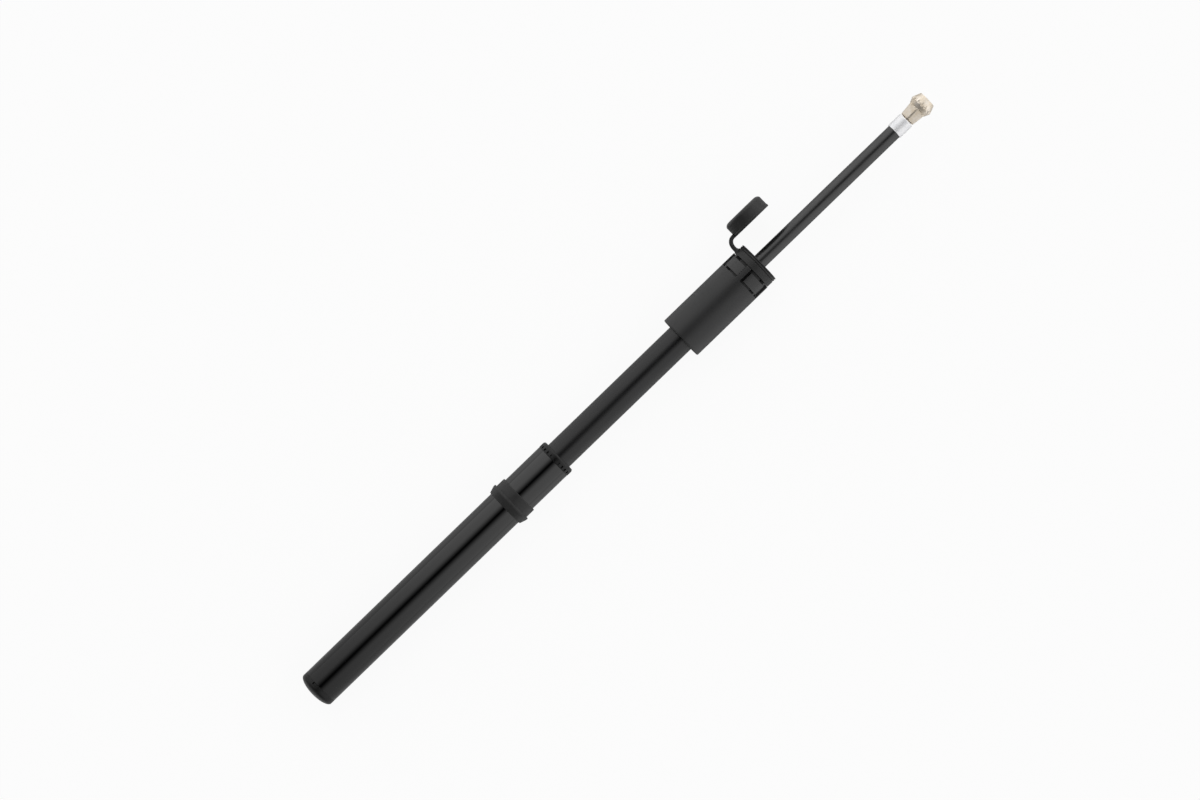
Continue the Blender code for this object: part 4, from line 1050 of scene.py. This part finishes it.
def thumb_cap(finish):
    """Dust cap: a cup with a rounded back and a low step round its rim."""
    low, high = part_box("dust_cap")
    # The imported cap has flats, and its box gives their distance from its middle.
    outer = (high.z - low.z) / 2 / math.cos(math.pi / CAP_NODE_SIDES)
    height = high.y - low.y
    round_start = height - CAP_ROUND_HEIGHT
    turns = [math.pi / 2 * i / CAP_ROUND_STEPS for i in range(CAP_ROUND_STEPS + 1)]
    side = outer - CAP_RIM_STEP
    back = [(round_start + CAP_ROUND_HEIGHT * math.sin(t),
             side - CAP_ROUND_WIDTH * (1 - math.cos(t))) for t in turns]
    hollow = height - CAP_ROOF
    profile = [
        (hollow, 0),
        (hollow, CAP_BORE_RADIUS, SOFT),
        (0, CAP_BORE_RADIUS, SOFT),
        (0, outer, SOFT),
        (CAP_RIM_HEIGHT, outer, CRISP),
        (CAP_RIM_HEIGHT + CAP_RIM_STEP, side, CRISP),
    ] + back + [(height, 0)]
    shape = turn_about_axis(profile)
    centre = Vector(((low.x + high.x) / 2, low.y, 0))
    stand = Matrix.Rotation(math.pi / 2, 4, "Z")
    bmesh.ops.transform(shape, matrix=Matrix.Translation(centre) @ stand, verts=shape.verts)
    dress("thumb_cap", shape, finish, "black_rubber", "cap", "dust_cap")


# Hose side.

def straight_hose(finish):
    """The pull-out hose, drawn straight along the pump's axis."""
    start, end = ends("hose")
    curve = bpy.data.curves.new("pull_out_hose", "CURVE")
    curve.dimensions = "3D"
    curve.bevel_depth = HOSE_RADIUS
    curve.bevel_resolution = HOSE_ROUNDNESS
    curve.use_fill_caps = True
    spline = curve.splines.new("POLY")
    spline.points.add(HOSE_POINTS - 1)
    for i, point in enumerate(spline.points):
        point.co = (start + (end - start) * i / (HOSE_POINTS - 1), 0, 0, 1)
    curve.materials.append(finish)
    hose = bpy.data.objects.new("pull_out_hose", curve)
    bpy.context.scene.collection.objects.link(hose)
    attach(hose, "hose")
    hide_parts("hose")


def crimped_ferrule(finish):
    """Bright sleeve crimped over the hose's end."""
    start, end = ends("hose_ferrule")
    outer = reach("hose_ferrule")
    hole = BARB_RADIUS + FIT
    inner = outer - FERRULE_WALL
    profile = [(start, inner, CRISP), (start, outer, CRISP), (end, outer, FERRULE_ROUND),
               (end, hole), (end - 2 * FERRULE_WALL, hole), (end - 2 * FERRULE_WALL, inner)]
    shape = turn_about_axis(profile)
    return dress("crimped_ferrule", shape, finish, "silver", "hose", "hose_ferrule")


def fluted_chuck(finish):
    """Screw-on chuck: long spanner flats that widen to a fluted rim, and a tapered nose."""
    start, end = ends("chuck_body")
    hex_end = start + HEX_LENGTH
    rim = start + CHUCK_RIM_PLACE
    half_rim = CHUCK_RIM_WIDTH / 2
    profile = [(start, BARB_RADIUS + FIT), (start, HEX_START_APOTHEM - SOFT)]
    profile += along_chuck(start + SOFT, hex_end, HEX_START_APOTHEM * HEX_SPAN,
                           HEX_END_APOTHEM * HEX_SPAN, steps=8)
    profile += along_chuck(hex_end + SOFT, rim - half_rim - SOFT, CHUCK_BODY_RADIUS,
                           CHUCK_WAIST_RADIUS, steps=4)
    profile += along_chuck(rim - half_rim, rim + half_rim, CHUCK_RIM_RADIUS, CHUCK_RIM_RADIUS,
                           steps=3)
    profile += along_chuck(rim + half_rim + SOFT, end, CHUCK_RIM_RADIUS - SOFT / 2,
                           CHUCK_NOSE_RADIUS, steps=10)
    profile += [
        (end, CHUCK_SOCKET_RADIUS, CRISP),
        (end - CHUCK_SOCKET_DEPTH, CHUCK_SOCKET_RADIUS),
        (end - CHUCK_SOCKET_DEPTH, BARB_RADIUS + FIT),
    ]
    shape = turn_about_axis(profile, ((360.0, CHUCK_FLUTE_STEPS * CHUCK_FLUTES),))
    for vertex in shape.verts:
        radius = math.hypot(vertex.co.y, vertex.co.z)
        if radius < CHUCK_SOCKET_RADIUS + SOFT:
            continue
        wanted = radius
        if vertex.co.x < hex_end + TINY:
            share = (vertex.co.x - start) / HEX_LENGTH
            apothem = HEX_START_APOTHEM + (HEX_END_APOTHEM - HEX_START_APOTHEM) * share
            wanted = min(radius, hexagon_radius(angle_of(vertex.co), apothem))
        elif vertex.co.x > rim - half_rim - TINY:
            wanted = min(radius, fluted_radius(angle_of(vertex.co)))
        vertex.co.y *= wanted / radius
        vertex.co.z *= wanted / radius
    return dress("fluted_chuck", shape, finish, "brass", "chuck", "chuck_body")


def along_chuck(start, stop, first_radius, last_radius, steps):
    """Points along a straight stretch of the chuck's outline."""
    return [(start + (stop - start) * i / steps, first_radius + (last_radius - first_radius) * i / steps)
            for i in range(steps + 1)]


def hexagon_radius(angle, apothem):
    """Radius of the spanner hexagon, which has one of its blunt corners at the top."""
    aside = math.radians((angle % 60) - 30)
    return min(apothem / math.cos(aside), apothem * HEX_SPAN - HEX_CORNER)


def fluted_radius(angle):
    """Radius at which the nearest flute, a round groove along the rim and nose, is met."""
    pitch = 360 / CHUCK_FLUTES
    centre = CHUCK_RIM_RADIUS + CHUCK_FLUTE_RADIUS - CHUCK_FLUTE_DEPTH
    turn = math.radians((angle + pitch / 2) % pitch - pitch / 2)
    aside = centre * math.sin(turn)
    if abs(aside) >= CHUCK_FLUTE_RADIUS:
        return CHUCK_RIM_RADIUS
    return centre * math.cos(turn) - math.sqrt(CHUCK_FLUTE_RADIUS ** 2 - aside ** 2)


def mouth_washer(finish):
    """Rubber washer in the chuck's mouth."""
    start, end = ends("chuck_seal")
    outer = reach("chuck_seal")
    profile = [(start, WASHER_BORE_RADIUS), (start, outer, CRISP), (end, outer, CRISP),
               (end, WASHER_BORE_RADIUS, SOFT)]
    shape = turn_about_axis(profile, ((360.0, SMALL_SIDES),))
    return dress("mouth_washer", shape, finish, "seal_rubber", "chuck", "chuck_seal")


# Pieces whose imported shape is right, by finish.
KEPT_NODES = {
    "bearing": ("shaft_guide_bush", "piston_wear_ring", "hose_guide_bush"),
    "seal": ("end_cap_oring", "piston_seal_ring", "hose_plug_oring", "chuck_stem_oring"),
    "brass": ("piston_body", "check_valve_retainer", "hose_plug", "chuck_stem", "valve_pin"),
    "steel": ("check_valve_spring", "check_valve_ball"),
    "silver": ("hose_plug_clamp",),
}


def build():
    """The view, light and table, then the hose, barrel and head, and the other nodes' finishes."""
    photo_camera()
    light_tent()
    white_table()

    satin = satin_black_anodising()
    # The dull plastic is the end cap's and the nut's own, and in the core's slots it is painted shade.
    dull_plastic_and_slot_shade = moulded_black_plastic("dull_black_plastic_and_slot_shade", (0.008, 0.008, 0.0082),
                                 (0.011, 0.011, 0.0112), 0.3)
    bright = moulded_black_plastic("bright_black_plastic", (0.02, 0.02, 0.0202),
                                   (0.024, 0.024, 0.0242), 0.5)
    rubber = matte_black_rubber()
    finishes = {
        "bearing": bearing_plastic(),
        "seal": seal_rubber(),
        "brass": pale_brass(),
        "steel": bright_steel(),
        "silver": polished_silver(),
    }

    ferrule = crimped_ferrule(finishes["silver"])
    chuck = fluted_chuck(finishes["brass"])
    washer = mouth_washer(finishes["seal"])
    straight_hose(satin_hose_rubber())

    painted_barrel(gloss_black_paint())
    domed_end_cap(dull_plastic_and_slot_shade)
    rubber_bumper(rubber)
    notched_nut(dull_plastic_and_slot_shade)
    lip_wiper(finishes["seal"])

    satin_shaft(satin)
    windowed_sleeve(blasted_black_sleeve())
    stepped_core(bright, dull_plastic_and_slot_shade)
    ribbed_collar(rubber)
    bent_strap(rubber)
    thumb_cap(rubber)

    for name, nodes in KEPT_NODES.items():
        for node in nodes:
            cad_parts[node].data.materials.clear()
            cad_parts[node].data.materials.append(finishes[name])


build()
scene = bpy.context.scene
scene.view_settings.view_transform = "Standard"
